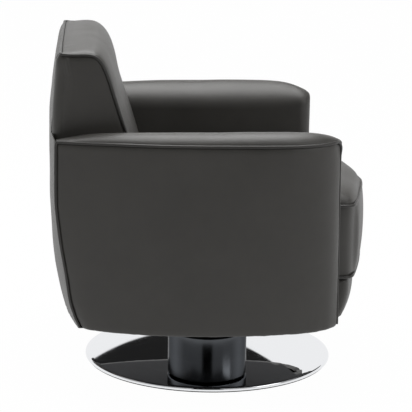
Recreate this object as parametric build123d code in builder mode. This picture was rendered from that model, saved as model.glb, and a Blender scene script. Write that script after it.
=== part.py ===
from build123d import *
import math
import os

os.makedirs("parts", exist_ok=True)

# Swivel club chair, millimetres. Z up, floor at Z = 0, swivel axis on Z.
# The sitter faces -Y and the sitter's left is +X.

# Heights of the upholstered body
body_bottom = 164.0
arm_seam_height = 571.0
arm_crown = 7.0
seat_bottom_seam = 257.0
seat_top_seam = 420.0
back_seam_height = 752.0

# Plan of the arms: a bowed outer side and a straight inner side
arm_inner_reach = 270.0
arm_front_reach = 262.0
arm_front_width = 44.0
bow_reach = 396.0
bow_peak_setback = 8.0
bow_front_drop = 17.0
bow_front_setback = 84.0
bow_rear_drop = 53.0
arm_rear_reach = 348.0
rear_foot_drop = 51.0
rear_straight_length = 104.0
arm_roll_radius = 22.0
arm_front_roll = 27.0

# Rear panel, fuller in the middle than at the two arm seams
rear_bulge_top = 18.0
rear_bulge_foot = 41.0
rear_upper_lean = 18.0

# Leather, welts and foam
leather = 2.0
welt_diameter = 6.0
seam_gap = 0.3
rear_gap = 0.5
back_foam_depth = 60.0
back_cap_depth = 38.0

# Back, seen from the side, its depths measured forward from the rear of the arms
back_foot_tuck = 22.0
back_foot_depth = 202.0
back_face_top_drop = 25.0
back_face_top_depth = 98.0
back_face_crown = 6.0
back_top_front_drop = 9.0
back_top_front_depth = 80.0
back_top_rear_overhang = 8.0
post_rear_gap = 7.0
back_rail_height = 55.0

# Seat cushion
cushion_side_gap = 2.0
cushion_rear_gap = 6.0
cushion_side_front = 284.0
cushion_front_reach = 344.0
cushion_corner_radius = 14.0
cushion_side_draw = 5.0
crown_rim_rise = 10.0
crown_rim_inset = 32.0
crown_top_rise = 17.0
crown_top_inset = 110.0
zip_length = 420.0
zip_height = 12.0
zip_depth = 1.2

# Timber frame
board = 22.0
cross_rail_width = 44.0
cross_rail_height = 30.0
cross_rail_spread = 75.0
corner_block = 46.0
apron_top_gap = 3.0
apron_front_reach = 324.0
apron_side_reach = 268.0
apron_foot_taper = 16.0
hardboard = 4.0
dust_cloth = 1.0
deck_cloth = 1.2
webbing = 2.0
webbing_width = 50.0
webbing_count_across = 5
webbing_count_deep = 5
back_webbing_count = 4
arm_frame_inset = 18.0
arm_frame_depth = 56.0
arm_frame_front_gap = 34.0
arm_frame_rear_gap = 48.0
arm_frame_top_gap = 26.0

# Turntable plate and its bolts
plate_side = 210.0
plate_thickness = 5.0
plate_corner = 18.0
plate_bolt_spread = 70.0
bolt_diameter = 8.0
bolt_head_across = 13.0
bolt_head_height = 5.0
tee_nut_flange = 20.0
tee_nut_flange_thickness = 1.6
tee_nut_barrel = 11.0
tee_nut_depth = 12.0
arm_bolt_spacing = 190.0
arm_bolt_middle = 20.0
arm_bolt_rise = 22.0
arm_bolt_head = 16.0
arm_bolt_head_height = 3.0

# Pedestal
disc_radius = 286.0
disc_thickness = 8.0
disc_edge_radius = 3.0
floor_ring_height = 3.0
floor_ring_inset = 4.0
floor_ring_width = 20.0
column_outer = 50.0
column_wall = 4.0
column_cap_radius = 34.0
column_cap_thickness = 5.0
plug_height = 20.0
base_bolt_diameter = 12.0
base_bolt_head = 22.0
base_bolt_head_depth = 5.0
base_bolt_grip = 16.0
foot_drum_radius = 92.0
foot_drum_height = 55.0
foot_drum_edge = 5.0
cover_wall = 1.5
drum_radius = 93.0
drum_gap = 4.5
drum_edge = 3.0
drum_opening = 33.0

# Swivel bearing
spindle_diameter = 25.0
running_fit = 0.05
bush_length = 26.0
lower_bush_rise = 34.0
ball_diameter = 8.0
ball_count = 14
ball_ring_radius = 24.0
groove_depth = 1.5
race_outer = 64.0
race_bore = 27.0
race_thickness = 4.5
cage_thickness = 2.0
cage_margin = 2.0
washer_diameter = 38.0
washer_thickness = 2.4
circlip_thickness = 1.5
circlip_groove = 1.2
circlip_width = 4.0
circlip_mouth = 8.0
spindle_tail = 7.0

overrun = 5.0

# Heights that follow from the sizes above
disc_bottom = floor_ring_height
disc_top = disc_bottom + disc_thickness
frame_bottom = body_bottom + dust_cloth
frame_top = seat_bottom_seam - deck_cloth - webbing * 2
rail_height = frame_top - frame_bottom
plate_bottom = frame_bottom - plate_thickness
upper_race_bottom = plate_bottom - race_thickness
race_gap = ball_diameter - groove_depth * 2 + running_fit * 2
lower_race_bottom = upper_race_bottom - race_gap - race_thickness
ball_height = upper_race_bottom - race_gap / 2
cap_bottom = lower_race_bottom - column_cap_thickness
column_bore = column_outer / 2 - column_wall
arm_top = arm_seam_height + arm_crown
welt_radius = welt_diameter / 2

back_foot_height = seat_top_seam - back_foot_tuck
back_face_top_height = back_seam_height - back_face_top_drop

# Setbacks of the back and the cushion from the swivel axis
back_foot_setback = arm_rear_reach - back_foot_depth
back_face_top_setback = arm_rear_reach - back_face_top_depth
back_top_front_setback = arm_rear_reach - back_top_front_depth
back_top_rear_setback = arm_rear_reach + back_top_rear_overhang
cushion_rear_setback = back_foot_setback - cushion_rear_gap

# Plan places of the arm outline
bow_front_x = bow_reach - bow_front_drop
bow_front_y = -(arm_front_reach - bow_front_setback)
arm_corner_x = arm_inner_reach + arm_front_width
arm_rear_x = bow_reach - bow_rear_drop
rear_foot_y = arm_rear_reach - rear_foot_drop
rear_straight_bottom = arm_seam_height - rear_straight_length


def bow_line(height):
    """Outer bow of an arm at one height, from the rear seam round to the front seam."""
    with BuildLine() as line:
        bow = ThreePointArc(
            (arm_rear_x, arm_rear_reach, height),
            (bow_reach, bow_peak_setback, height),
            (bow_front_x, bow_front_y, height),
        )
        TangentArc(bow @ 1, (arm_corner_x, -arm_front_reach, height), tangent=bow % 1)
    return line.wire()


def arm_plan(inset):
    """Plan face of the left arm, drawn in by the inset."""
    with BuildSketch() as plan:
        with BuildLine():
            Polyline(
                (arm_rear_x, arm_rear_reach),
                (arm_inner_reach, arm_rear_reach),
                (arm_inner_reach, -arm_front_reach),
                (arm_corner_x, -arm_front_reach),
            )
            add(bow_line(0))
        make_face()
        inner_front = plan.vertices().group_by(Axis.X)[0].sort_by(Axis.Y)[0]
        fillet(inner_front, arm_front_roll)
        if inset > 0:
            offset(amount=-inset, kind=Kind.INTERSECTION)
    return plan.sketch


def rear_profile_y(height):
    """Setback of the arm's rear seam at a height."""
    fall = rear_straight_bottom - body_bottom
    radius = (rear_foot_drop**2 + fall**2) / (2 * rear_foot_drop)
    below = rear_straight_bottom - height
    if below <= 0:
        return arm_rear_reach
    return arm_rear_reach - (radius - math.sqrt(radius**2 - below**2))


def arm_side(inset):
    """Side face of an arm, as seen along X, drawn in by the inset."""
    middle_height = (rear_straight_bottom + body_bottom) / 2
    low = body_bottom - overrun
    high = arm_top + overrun
    with BuildSketch(Plane.YZ) as side:
        with BuildLine():
            Polyline(
                (rear_foot_y - inset, body_bottom),
                (rear_foot_y - inset, low),
                (-arm_front_reach - overrun, low),
                (-arm_front_reach - overrun, high),
                (arm_rear_reach - inset, high),
                (arm_rear_reach - inset, rear_straight_bottom),
            )
            ThreePointArc(
                (arm_rear_reach - inset, rear_straight_bottom),
                (rear_profile_y(middle_height) - inset, middle_height),
                (rear_foot_y - inset, body_bottom),
            )
        make_face()
    return side.sketch


def arm_block(inset):
    """Left arm as one closed form, its faces drawn in by the inset."""
    with BuildPart() as block:
        with BuildSketch(Plane.XY.offset(body_bottom)):
            add(arm_plan(inset))
        extrude(amount=arm_top - inset - body_bottom)
        extrude(arm_side(inset), amount=bow_reach + overrun, mode=Mode.INTERSECT)
        top_edges = block.edges().group_by(Axis.Z)[-1]
        inner = top_edges.filter_by(Axis.Y).group_by(Axis.X)[0]
        front = top_edges.filter_by(Axis.X).group_by(Axis.Y)[0]
        corner = top_edges.filter_by(GeomType.CIRCLE).sort_by(SortBy.LENGTH)[0]
        fillet(inner + front + corner, arm_roll_radius - inset)
    return block.part


def rear_seam_line():
    """Rear seam of an arm, from its foot to under the top seam."""
    foot = body_bottom + welt_radius
    middle_height = (rear_straight_bottom + foot) / 2
    with BuildLine() as seam:
        ThreePointArc(
            (arm_rear_x, rear_profile_y(foot), foot),
            (arm_rear_x, rear_profile_y(middle_height), middle_height),
            (arm_rear_x, arm_rear_reach, rear_straight_bottom),
        )
        Line(
            (arm_rear_x, arm_rear_reach, rear_straight_bottom),
            (arm_rear_x, arm_rear_reach, arm_seam_height - welt_radius - seam_gap),
        )
    return seam.wire()


def front_seam_line():
    """Front seam of an arm, from its foot to under the top seam."""
    with BuildLine() as seam:
        Line(
            (arm_corner_x, -arm_front_reach, body_bottom + welt_radius),
            (arm_corner_x, -arm_front_reach, arm_seam_height - welt_radius - seam_gap),
        )
    return seam.wire()


def welt_along(path):
    """Round cord along a seam."""
    with BuildPart() as cord:
        with BuildSketch(Plane(origin=path @ 0, z_dir=path % 0)):
            Circle(welt_radius)
        sweep(path=path)
    return cord.part


# Pedestal, standing on the floor
with BuildPart() as floor_ring:
    with BuildSketch():
        Circle(disc_radius - floor_ring_inset)
        Circle(disc_radius - floor_ring_inset - floor_ring_width, mode=Mode.SUBTRACT)
    extrude(amount=floor_ring_height)

with BuildPart() as base_disc:
    with BuildSketch(Plane.XY.offset(disc_bottom)):
        Circle(disc_radius)
    extrude(amount=disc_thickness)
    fillet(base_disc.edges().group_by(Axis.Z)[-1], disc_edge_radius)
    with BuildSketch(Plane.XY.offset(disc_bottom)):
        Circle(base_bolt_diameter / 2)
    extrude(amount=disc_thickness, mode=Mode.SUBTRACT)
    with BuildSketch(Plane.XY.offset(disc_bottom)):
        Circle(base_bolt_head / 2)
    extrude(amount=base_bolt_head_depth, mode=Mode.SUBTRACT)

with BuildPart() as base_bolt:
    with BuildSketch(Plane.XY.offset(disc_bottom)):
        RegularPolygon(base_bolt_head / 2 - running_fit, 6)
    extrude(amount=base_bolt_head_depth)
    with BuildSketch(Plane.XY.offset(disc_bottom + base_bolt_head_depth)):
        Circle(base_bolt_diameter / 2)
    extrude(amount=disc_top + base_bolt_grip - disc_bottom - base_bolt_head_depth)

with BuildPart() as column_tube:
    with BuildSketch(Plane.XY.offset(disc_top)):
        Circle(column_outer / 2)
        Circle(column_bore, mode=Mode.SUBTRACT)
    extrude(amount=cap_bottom - disc_top)

with BuildPart() as column_plug:
    with BuildSketch(Plane.XY.offset(disc_top)):
        Circle(column_bore)
        Circle(base_bolt_diameter / 2, mode=Mode.SUBTRACT)
    extrude(amount=plug_height)

with BuildPart() as column_cap:
    with BuildSketch(Plane.XY.offset(cap_bottom)):
        Circle(column_cap_radius)
        Circle(spindle_diameter / 2 + column_wall, mode=Mode.SUBTRACT)
    extrude(amount=column_cap_thickness)

foot_drum_top = disc_top + foot_drum_height
drum_bottom = foot_drum_top + drum_gap
with BuildPart() as foot_cover:
    with BuildSketch(Plane.XY.offset(disc_top)):
        Circle(foot_drum_radius)
    extrude(amount=foot_drum_height)
    fillet(foot_cover.edges().group_by(Axis.Z)[-1], foot_drum_edge)
    offset(amount=-cover_wall, openings=foot_cover.faces().sort_by(Axis.Z)[0])
    with BuildSketch(Plane.XY.offset(foot_drum_top)):
        Circle(drum_opening)
    extrude(amount=-cover_wall * 2, mode=Mode.SUBTRACT)

with BuildPart() as drum_cover:
    with BuildSketch(Plane.XY.offset(drum_bottom)):
        Circle(drum_radius)
    extrude(amount=plate_bottom - drum_bottom)
    fillet(drum_cover.edges().group_by(Axis.Z)[0], drum_edge)
    offset(amount=-cover_wall, openings=drum_cover.faces().sort_by(Axis.Z)[-1])
    with BuildSketch(Plane.XY.offset(drum_bottom)):
        Circle(drum_opening)
    extrude(amount=cover_wall * 2, mode=Mode.SUBTRACT)


def bush(bottom):
    """Nylon bush that fills the column's bore around the spindle."""
    with BuildPart() as sleeve:
        with BuildSketch(Plane.XY.offset(bottom)):
            Circle(column_bore)
            Circle(spindle_diameter / 2 + running_fit, mode=Mode.SUBTRACT)
        extrude(amount=bush_length)
    return sleeve.part


with BuildPart() as spindle_bushes:
    add(bush(cap_bottom - bush_length))
    add(bush(disc_top + lower_bush_rise))


def groove(height):
    """Ring that the balls run in, centred on the ball ring."""
    with BuildPart() as ring:
        with BuildSketch(Plane.XZ):
            with Locations((ball_ring_radius, height)):
                Circle(ball_diameter / 2 + running_fit)
        revolve(axis=Axis.Z)
    return ring.part


with BuildPart() as lower_race:
    with BuildSketch(Plane.XY.offset(lower_race_bottom)):
        Circle(race_outer / 2)
        Circle(race_bore / 2, mode=Mode.SUBTRACT)
    extrude(amount=race_thickness)
    add(groove(ball_height), mode=Mode.SUBTRACT)

with BuildPart() as upper_race:
    with BuildSketch(Plane.XY.offset(upper_race_bottom)):
        Circle(race_outer / 2)
        Circle(race_bore / 2, mode=Mode.SUBTRACT)
    extrude(amount=race_thickness)
    add(groove(ball_height), mode=Mode.SUBTRACT)

with BuildPart() as bearing_cage:
    with BuildSketch(Plane.XY.offset(ball_height - cage_thickness / 2)):
        Circle(ball_ring_radius + ball_diameter / 2 + cage_margin)
        Circle(ball_ring_radius - ball_diameter / 2 - cage_margin, mode=Mode.SUBTRACT)
        with PolarLocations(ball_ring_radius, ball_count):
            Circle(ball_diameter / 2 + running_fit, mode=Mode.SUBTRACT)
    extrude(amount=cage_thickness)

with BuildPart() as bearing_balls:
    with Locations((0, 0, ball_height)):
        with PolarLocations(ball_ring_radius, ball_count):
            Sphere(ball_diameter / 2)

# Spindle, plate and fasteners, which turn with the seat
circlip_bottom = disc_top + lower_bush_rise - washer_thickness - circlip_thickness
with BuildPart() as spindle:
    with BuildSketch(Plane.XY.offset(circlip_bottom - spindle_tail)):
        Circle(spindle_diameter / 2)
    extrude(amount=frame_bottom - circlip_bottom + spindle_tail)
    with BuildSketch(Plane.XY.offset(circlip_bottom)):
        Circle(spindle_diameter / 2 + overrun)
        Circle(spindle_diameter / 2 - circlip_groove, mode=Mode.SUBTRACT)
    extrude(amount=circlip_thickness, mode=Mode.SUBTRACT)

with BuildPart() as spindle_washer:
    with BuildSketch(Plane.XY.offset(circlip_bottom + circlip_thickness)):
        Circle(washer_diameter / 2)
        Circle(spindle_diameter / 2 + running_fit, mode=Mode.SUBTRACT)
    extrude(amount=washer_thickness - running_fit)

with BuildPart() as circlip:
    with BuildSketch(Plane.XY.offset(circlip_bottom)):
        Circle(spindle_diameter / 2 - circlip_groove + circlip_width)
        Circle(spindle_diameter / 2 - circlip_groove, mode=Mode.SUBTRACT)
        with Locations((spindle_diameter / 2, 0)):
            Rectangle(spindle_diameter, circlip_mouth, mode=Mode.SUBTRACT)
    extrude(amount=circlip_thickness)

with BuildPart() as swivel_plate:
    with BuildSketch(Plane.XY.offset(plate_bottom)):
        RectangleRounded(plate_side, plate_side, plate_corner)
        Circle(spindle_diameter / 2, mode=Mode.SUBTRACT)
        with GridLocations(plate_bolt_spread * 2, cross_rail_spread * 2, 2, 2):
            Circle(bolt_diameter / 2, mode=Mode.SUBTRACT)
    extrude(amount=plate_thickness)

with BuildPart() as plate_bolts:
    with BuildSketch(Plane.XY.offset(plate_bottom - bolt_head_height)):
        with GridLocations(plate_bolt_spread * 2, cross_rail_spread * 2, 2, 2):
            RegularPolygon(bolt_head_across / 2, 6, major_radius=False)
    extrude(amount=bolt_head_height)
    with BuildSketch(Plane.XY.offset(plate_bottom)):
        with GridLocations(plate_bolt_spread * 2, cross_rail_spread * 2, 2, 2):
            Circle(bolt_diameter / 2)
    extrude(amount=plate_thickness + cross_rail_height)

with BuildPart() as tee_nuts:
    with BuildSketch(Plane.XY.offset(frame_bottom + cross_rail_height)):
        with GridLocations(plate_bolt_spread * 2, cross_rail_spread * 2, 2, 2):
            Circle(tee_nut_flange / 2)
    extrude(amount=tee_nut_flange_thickness)
    with BuildSketch(Plane.XY.offset(frame_bottom + cross_rail_height - tee_nut_depth)):
        with GridLocations(plate_bolt_spread * 2, cross_rail_spread * 2, 2, 2):
            Circle(tee_nut_barrel / 2)
    extrude(amount=tee_nut_depth)
    with BuildSketch(Plane.XY.offset(frame_bottom)):
        with GridLocations(plate_bolt_spread * 2, cross_rail_spread * 2, 2, 2):
            Circle(bolt_diameter / 2)
    extrude(amount=cross_rail_height, mode=Mode.SUBTRACT)


# Timber frame of the seat
rail_outer = arm_inner_reach - leather
rail_inner = rail_outer - board
side_rail_front = -(apron_side_reach - leather - board)
side_rail_rear = rear_foot_y
arm_bolt_height = frame_bottom + arm_bolt_rise
arm_bolt_places = [arm_bolt_middle - arm_bolt_spacing, arm_bolt_middle, arm_bolt_middle + arm_bolt_spacing]
arm_bolt_end = arm_inner_reach + arm_frame_inset + arm_frame_depth / 2


def arm_bolt_set(start, end, radius):
    """Rods along X at the places of one arm's bolts."""
    with BuildPart() as rods:
        with BuildSketch(Plane.YZ.offset(start)):
            with Locations([(place, arm_bolt_height) for place in arm_bolt_places]):
                Circle(radius)
        extrude(amount=end - start)
    return rods.part


with BuildPart() as side_rails:
    with BuildSketch(Plane.XY.offset(frame_bottom)):
        with BuildLine():
            Polyline(
                (rail_inner, side_rail_front),
                (rail_outer, side_rail_front),
                (rail_outer, side_rail_rear),
                (rail_inner, side_rail_rear),
                close=True,
            )
        make_face()
    extrude(amount=rail_height)
    add(arm_bolt_set(rail_inner - overrun, rail_outer + overrun, bolt_diameter / 2), mode=Mode.SUBTRACT)
    mirror(about=Plane.YZ)

with BuildPart() as front_rail:
    with BuildSketch(Plane.XY.offset(frame_bottom)):
        with Locations((0, side_rail_front - board / 2)):
            Rectangle(rail_outer * 2, board)
    extrude(amount=rail_height)

with BuildPart() as rear_rail:
    with BuildSketch(Plane.XY.offset(frame_bottom)):
        with Locations((0, side_rail_rear - board / 2)):
            Rectangle(rail_inner * 2, board)
    extrude(amount=rail_height)


def cross_rail(middle):
    """Cross rail under the webbing, with the holes for the plate's bolts and nuts."""
    with BuildPart() as rail:
        with BuildSketch(Plane.XY.offset(frame_bottom)):
            with Locations((0, middle)):
                Rectangle(rail_inner * 2, cross_rail_width)
        extrude(amount=cross_rail_height)
        with BuildSketch(Plane.XY.offset(frame_bottom)):
            with Locations((-plate_bolt_spread, middle), (plate_bolt_spread, middle)):
                Circle(bolt_diameter / 2)
        extrude(amount=cross_rail_height, mode=Mode.SUBTRACT)
        with BuildSketch(Plane.XY.offset(frame_bottom + cross_rail_height - tee_nut_depth)):
            with Locations((-plate_bolt_spread, middle), (plate_bolt_spread, middle)):
                Circle(tee_nut_barrel / 2)
        extrude(amount=tee_nut_depth, mode=Mode.SUBTRACT)
    return rail.part


with BuildPart() as cross_rails:
    add(cross_rail(-cross_rail_spread))
    add(cross_rail(cross_rail_spread))

with BuildPart() as corner_blocks:
    inner_front = side_rail_front
    inner_rear = side_rail_rear - board
    with BuildSketch(Plane.XY.offset(frame_bottom)):
        for x_side in (-1, 1):
            for corner_y, y_side in ((inner_front, 1), (inner_rear, -1)):
                with BuildLine():
                    Polyline(
                        (x_side * rail_inner, corner_y),
                        (x_side * (rail_inner - corner_block), corner_y),
                        (x_side * rail_inner, corner_y + y_side * corner_block),
                        close=True,
                    )
                make_face()
    extrude(amount=rail_height - corner_block / 2)

with BuildPart() as seat_webbing:
    clear_depth = side_rail_rear - side_rail_front + board
    clear_middle = (side_rail_rear + side_rail_front - board) / 2
    across_pitch = rail_inner * 2 / webbing_count_across
    deep_pitch = (cushion_rear_setback - side_rail_front) / webbing_count_deep
    with BuildSketch(Plane.XY.offset(frame_top)):
        with Locations((0, clear_middle)):
            with GridLocations(across_pitch, clear_depth, webbing_count_across, 1):
                Rectangle(webbing_width, clear_depth)
    extrude(amount=webbing)
    with BuildSketch(Plane.XY.offset(frame_top + webbing)):
        with Locations((0, (cushion_rear_setback + side_rail_front) / 2)):
            with GridLocations(clear_depth, deep_pitch, 1, webbing_count_deep):
                Rectangle(rail_outer * 2, webbing_width)
    extrude(amount=webbing)


def apron_plan(inset, taper):
    """Plan of the padded front under the cushion, from the front rail to its bow."""
    rear = side_rail_front - board
    half = arm_inner_reach - seam_gap
    with BuildSketch() as plan:
        with BuildLine():
            Polyline(
                (half, -(apron_side_reach + board - inset - taper)),
                (half, rear),
                (-half, rear),
                (-half, -(apron_side_reach + board - inset - taper)),
            )
            ThreePointArc(
                (-half, -(apron_side_reach + board - inset - taper)),
                (0, -(apron_front_reach - inset - taper)),
                (half, -(apron_side_reach + board - inset - taper)),
            )
        make_face()
    return plan.sketch


apron_top = seat_bottom_seam - apron_top_gap


def apron_block(inset):
    """Padded front, drawn in toward its foot."""
    with BuildPart() as block:
        with BuildSketch(Plane.XY.offset(frame_bottom)):
            add(apron_plan(inset, apron_foot_taper))
        with BuildSketch(Plane.XY.offset(apron_top)):
            add(apron_plan(inset, 0))
        loft()
    return block.part


with BuildPart() as apron_foam:
    add(apron_block(leather))

with BuildPart() as apron_cover:
    add(apron_block(0))
    add(apron_foam.part, mode=Mode.SUBTRACT)

with BuildPart() as dust_cover:
    half = arm_inner_reach - seam_gap
    with BuildSketch(Plane.XY.offset(body_bottom)):
        with BuildLine():
            Polyline(
                (half, side_rail_front - board),
                (half, side_rail_rear),
                (-half, side_rail_rear),
                (-half, side_rail_front - board),
                close=True,
            )
        make_face()
        RectangleRounded(
            plate_side + seam_gap * 2, plate_side + seam_gap * 2, plate_corner + seam_gap,
            mode=Mode.SUBTRACT,
        )
    extrude(amount=dust_cloth)

deck_bottom = frame_top + webbing * 2
with BuildPart() as deck_cover:
    with BuildSketch(Plane.XY.offset(deck_bottom)):
        with Locations((0, (cushion_rear_setback + side_rail_front - board) / 2)):
            Rectangle(rail_outer * 2, cushion_rear_setback - side_rail_front + board)
    extrude(amount=deck_cloth)


# Arms
frame_start = arm_inner_reach + arm_frame_inset
frame_end = frame_start + arm_frame_depth
frame_front = -(arm_front_reach - arm_frame_front_gap)
frame_rear = rear_foot_y - arm_frame_rear_gap
frame_roof = arm_seam_height - arm_frame_top_gap
frame_floor = frame_bottom


def arm_box(x_from, x_to, y_from, y_to, z_from, z_to):
    """Square block between the given faces."""
    with BuildPart() as block:
        with BuildSketch(Plane.XY.offset(z_from)):
            with Locations(((x_from + x_to) / 2, (y_from + y_to) / 2)):
                Rectangle(x_to - x_from, y_to - y_from)
        extrude(amount=z_to - z_from)
    return block.part


rod_cut = arm_bolt_set(rail_inner - overrun, arm_bolt_end, bolt_diameter / 2)

with BuildPart() as left_arm_bottom_rail:
    add(arm_box(frame_start, frame_end, frame_front, frame_rear, frame_floor, frame_floor + board * 2))
    add(rod_cut, mode=Mode.SUBTRACT)

with BuildPart() as left_arm_top_rail:
    add(arm_box(frame_start, frame_end, frame_front, frame_rear, frame_roof - board, frame_roof))

with BuildPart() as left_arm_posts:
    for front_face in (frame_front, frame_rear - board):
        add(arm_box(
            frame_start, frame_end, front_face, front_face + board, frame_floor + board * 2, frame_roof - board,
        ))

with BuildPart() as left_arm_inner_board:
    add(arm_box(frame_start - hardboard, frame_start, frame_front, frame_rear, frame_floor, frame_roof))
    add(rod_cut, mode=Mode.SUBTRACT)

with BuildPart() as left_arm_welt:
    for seam in (rear_seam_line(), bow_line(arm_seam_height), front_seam_line()):
        add(welt_along(seam))

arm_outer_form = arm_block(0)
arm_inner_form = arm_block(leather)

# The outer panel is the leather below the top seam, between the front and rear seams
with BuildPart() as outer_side:
    with BuildSketch(Plane.XY.offset(body_bottom - overrun)):
        with BuildLine():
            Polyline(
                (arm_corner_x, -arm_front_reach - overrun),
                (arm_corner_x, 0),
                (arm_rear_x, 0),
                (arm_rear_x, arm_rear_reach + overrun),
                (bow_reach + overrun, arm_rear_reach + overrun),
                (bow_reach + overrun, -arm_front_reach - overrun),
                close=True,
            )
        make_face()
    extrude(amount=arm_seam_height - body_bottom + overrun)

with BuildPart() as arm_leather:
    add(arm_outer_form)
    add(arm_inner_form, mode=Mode.SUBTRACT)
    add(left_arm_welt.part, mode=Mode.SUBTRACT)

with BuildPart() as left_arm_outer_cover:
    add(arm_leather.part)
    add(outer_side.part, mode=Mode.INTERSECT)

with BuildPart() as left_arm_inner_cover:
    add(arm_leather.part)
    add(outer_side.part, mode=Mode.SUBTRACT)
    add(rod_cut, mode=Mode.SUBTRACT)

with BuildPart() as left_arm_foam:
    add(arm_inner_form)
    add(left_arm_welt.part, mode=Mode.SUBTRACT)
    for member in (
        left_arm_bottom_rail, left_arm_top_rail, left_arm_posts, left_arm_inner_board,
    ):
        add(member.part, mode=Mode.SUBTRACT)
    add(rod_cut, mode=Mode.SUBTRACT)

with BuildPart() as arm_bolts:
    add(arm_bolt_set(rail_inner, arm_bolt_end, bolt_diameter / 2))
    add(arm_bolt_set(rail_inner - arm_bolt_head_height, rail_inner, arm_bolt_head / 2))
    mirror(about=Plane.YZ)

with BuildPart() as right_arm_bottom_rail:
    mirror(left_arm_bottom_rail.part, about=Plane.YZ)
with BuildPart() as right_arm_top_rail:
    mirror(left_arm_top_rail.part, about=Plane.YZ)
with BuildPart() as right_arm_posts:
    mirror(left_arm_posts.part, about=Plane.YZ)
with BuildPart() as right_arm_inner_board:
    mirror(left_arm_inner_board.part, about=Plane.YZ)
with BuildPart() as right_arm_foam:
    mirror(left_arm_foam.part, about=Plane.YZ)
with BuildPart() as right_arm_outer_cover:
    mirror(left_arm_outer_cover.part, about=Plane.YZ)
with BuildPart() as right_arm_inner_cover:
    mirror(left_arm_inner_cover.part, about=Plane.YZ)
with BuildPart() as right_arm_welt:
    mirror(left_arm_welt.part, about=Plane.YZ)


# Back. Its side outline is drawn at the outside of the leather
back_half = arm_inner_reach - seam_gap
foam_half = back_half - leather
face_run = back_face_top_setback - back_foot_setback
face_rise = back_face_top_height - back_foot_height
face_length = math.hypot(face_run, face_rise)
face_out_y = -face_rise / face_length
face_out_z = face_run / face_length
cap_floor = back_seam_height - back_cap_depth
outside_top = back_seam_height - leather
webbing_setback = webbing * face_length / face_rise


def face_point(height, out):
    """Point of the back's leaning front face, seen from the side, moved out from the face."""
    share = (height - back_foot_height) / face_rise
    return (
        back_foot_setback + face_run * share + face_out_y * out,
        height + face_out_z * out,
    )


def back_front_line(out, rear_setback):
    """Front face and top of the back, seen from the side, from its foot to its rear edge."""
    foot = face_point(back_foot_height, out)
    middle = face_point((back_foot_height + back_face_top_height) / 2, out + back_face_crown)
    top = face_point(back_face_top_height, out)
    top_front = (back_top_front_setback, back_seam_height - back_top_front_drop + out)
    with BuildLine() as line:
        face = ThreePointArc(foot, middle, top)
        shoulder = TangentArc(face @ 1, top_front, tangent=face % 1)
        TangentArc(shoulder @ 1, (rear_setback, back_seam_height + out), tangent=shoulder % 1)
    return line.wire()


def back_profile(out):
    """Closed side face of the back's padding: the leaning slab and the cap over the frame."""
    inner_foot = (back_foot_setback + back_foam_depth, back_foot_height)
    inner_top = (face_point(cap_floor, 0)[0] + back_foam_depth, cap_floor)
    with BuildSketch(Plane.YZ) as side:
        with BuildLine():
            add(back_front_line(out, back_top_rear_setback))
            Polyline(
                (back_top_rear_setback, back_seam_height + out),
                (back_top_rear_setback, cap_floor),
                inner_top,
                inner_foot,
                face_point(back_foot_height, out),
            )
        make_face()
    return side.sketch


rear_half_width = arm_rear_x - welt_radius
rear_bow_radius = (rear_half_width**2 + rear_bulge_top**2) / (2 * rear_bulge_top)
rear_upper_bow = rear_bow_radius - math.sqrt(rear_bow_radius**2 - back_half**2)


def upper_rear(height):
    """Setbacks of the outside back's sides and middle at a height above the arms."""
    share = (height - arm_seam_height) / (outside_top - arm_seam_height)
    middle = arm_rear_reach + rear_gap + leather + rear_bulge_top - rear_upper_lean * share
    return middle - rear_upper_bow, middle


def bowed_strip(half, corner_y, middle_y, thickness):
    """Plan face of a bowed sheet at one height."""
    with BuildSketch() as strip:
        with BuildLine():
            ThreePointArc((-half, corner_y), (0, middle_y), (half, corner_y))
            Line((half, corner_y), (half, corner_y - thickness))
            ThreePointArc((half, corner_y - thickness), (0, middle_y - thickness), (-half, corner_y - thickness))
            Line((-half, corner_y - thickness), (-half, corner_y))
        make_face()
    return strip.sketch


# Room in front of the upper outside back, which the padding and its leather fill
with BuildPart() as back_room:
    for height in (arm_seam_height, outside_top + overrun * 2):
        corner_y, middle_y = upper_rear(height)
        with BuildSketch(Plane.XY.offset(height)):
            with BuildLine():
                ThreePointArc(
                    (-back_half, corner_y - leather), (0, middle_y - leather), (back_half, corner_y - leather)
                )
                Polyline((back_half, corner_y - leather), (back_half, 0), (-back_half, 0), (-back_half, corner_y - leather))
            make_face()
    loft()
    with BuildSketch(Plane.XY.offset(back_foot_height)):
        with Locations((0, arm_rear_reach / 2)):
            Rectangle(back_half * 2, arm_rear_reach)
    extrude(amount=arm_seam_height - back_foot_height)

back_seam_x = back_half - welt_radius
back_seam_rear = upper_rear(outside_top)[0] - leather - welt_diameter
with BuildPart() as back_welt:
    for x_place in (-back_seam_x, back_seam_x):
        seam = Plane.YZ.offset(x_place).from_local_coords(back_front_line(0, back_seam_rear))
        add(welt_along(seam))
    corner_y, middle_y = upper_rear(outside_top)
    rear_half = back_seam_x - welt_diameter
    rear_fall = rear_bow_radius - math.sqrt(rear_bow_radius**2 - rear_half**2)
    seam_setback = middle_y - leather
    with BuildLine() as rear_seam:
        ThreePointArc(
            (-rear_half, seam_setback - rear_fall, outside_top),
            (0, seam_setback, outside_top),
            (rear_half, seam_setback - rear_fall, outside_top),
        )
    add(welt_along(rear_seam.wire()))

with BuildPart() as back_foam:
    extrude(Plane.YZ.offset(-foam_half).from_local_coords(Plane.YZ.to_local_coords(back_profile(-leather))),
            amount=foam_half * 2)
    add(back_room.part, mode=Mode.INTERSECT)
    add(back_welt.part, mode=Mode.SUBTRACT)

with BuildPart() as back_cover:
    extrude(Plane.YZ.offset(-foam_half).from_local_coords(Plane.YZ.to_local_coords(back_profile(0))),
            amount=foam_half * 2)
    add(back_room.part, mode=Mode.INTERSECT)
    add(back_foam.part, mode=Mode.SUBTRACT)
    add(back_welt.part, mode=Mode.SUBTRACT)

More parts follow.
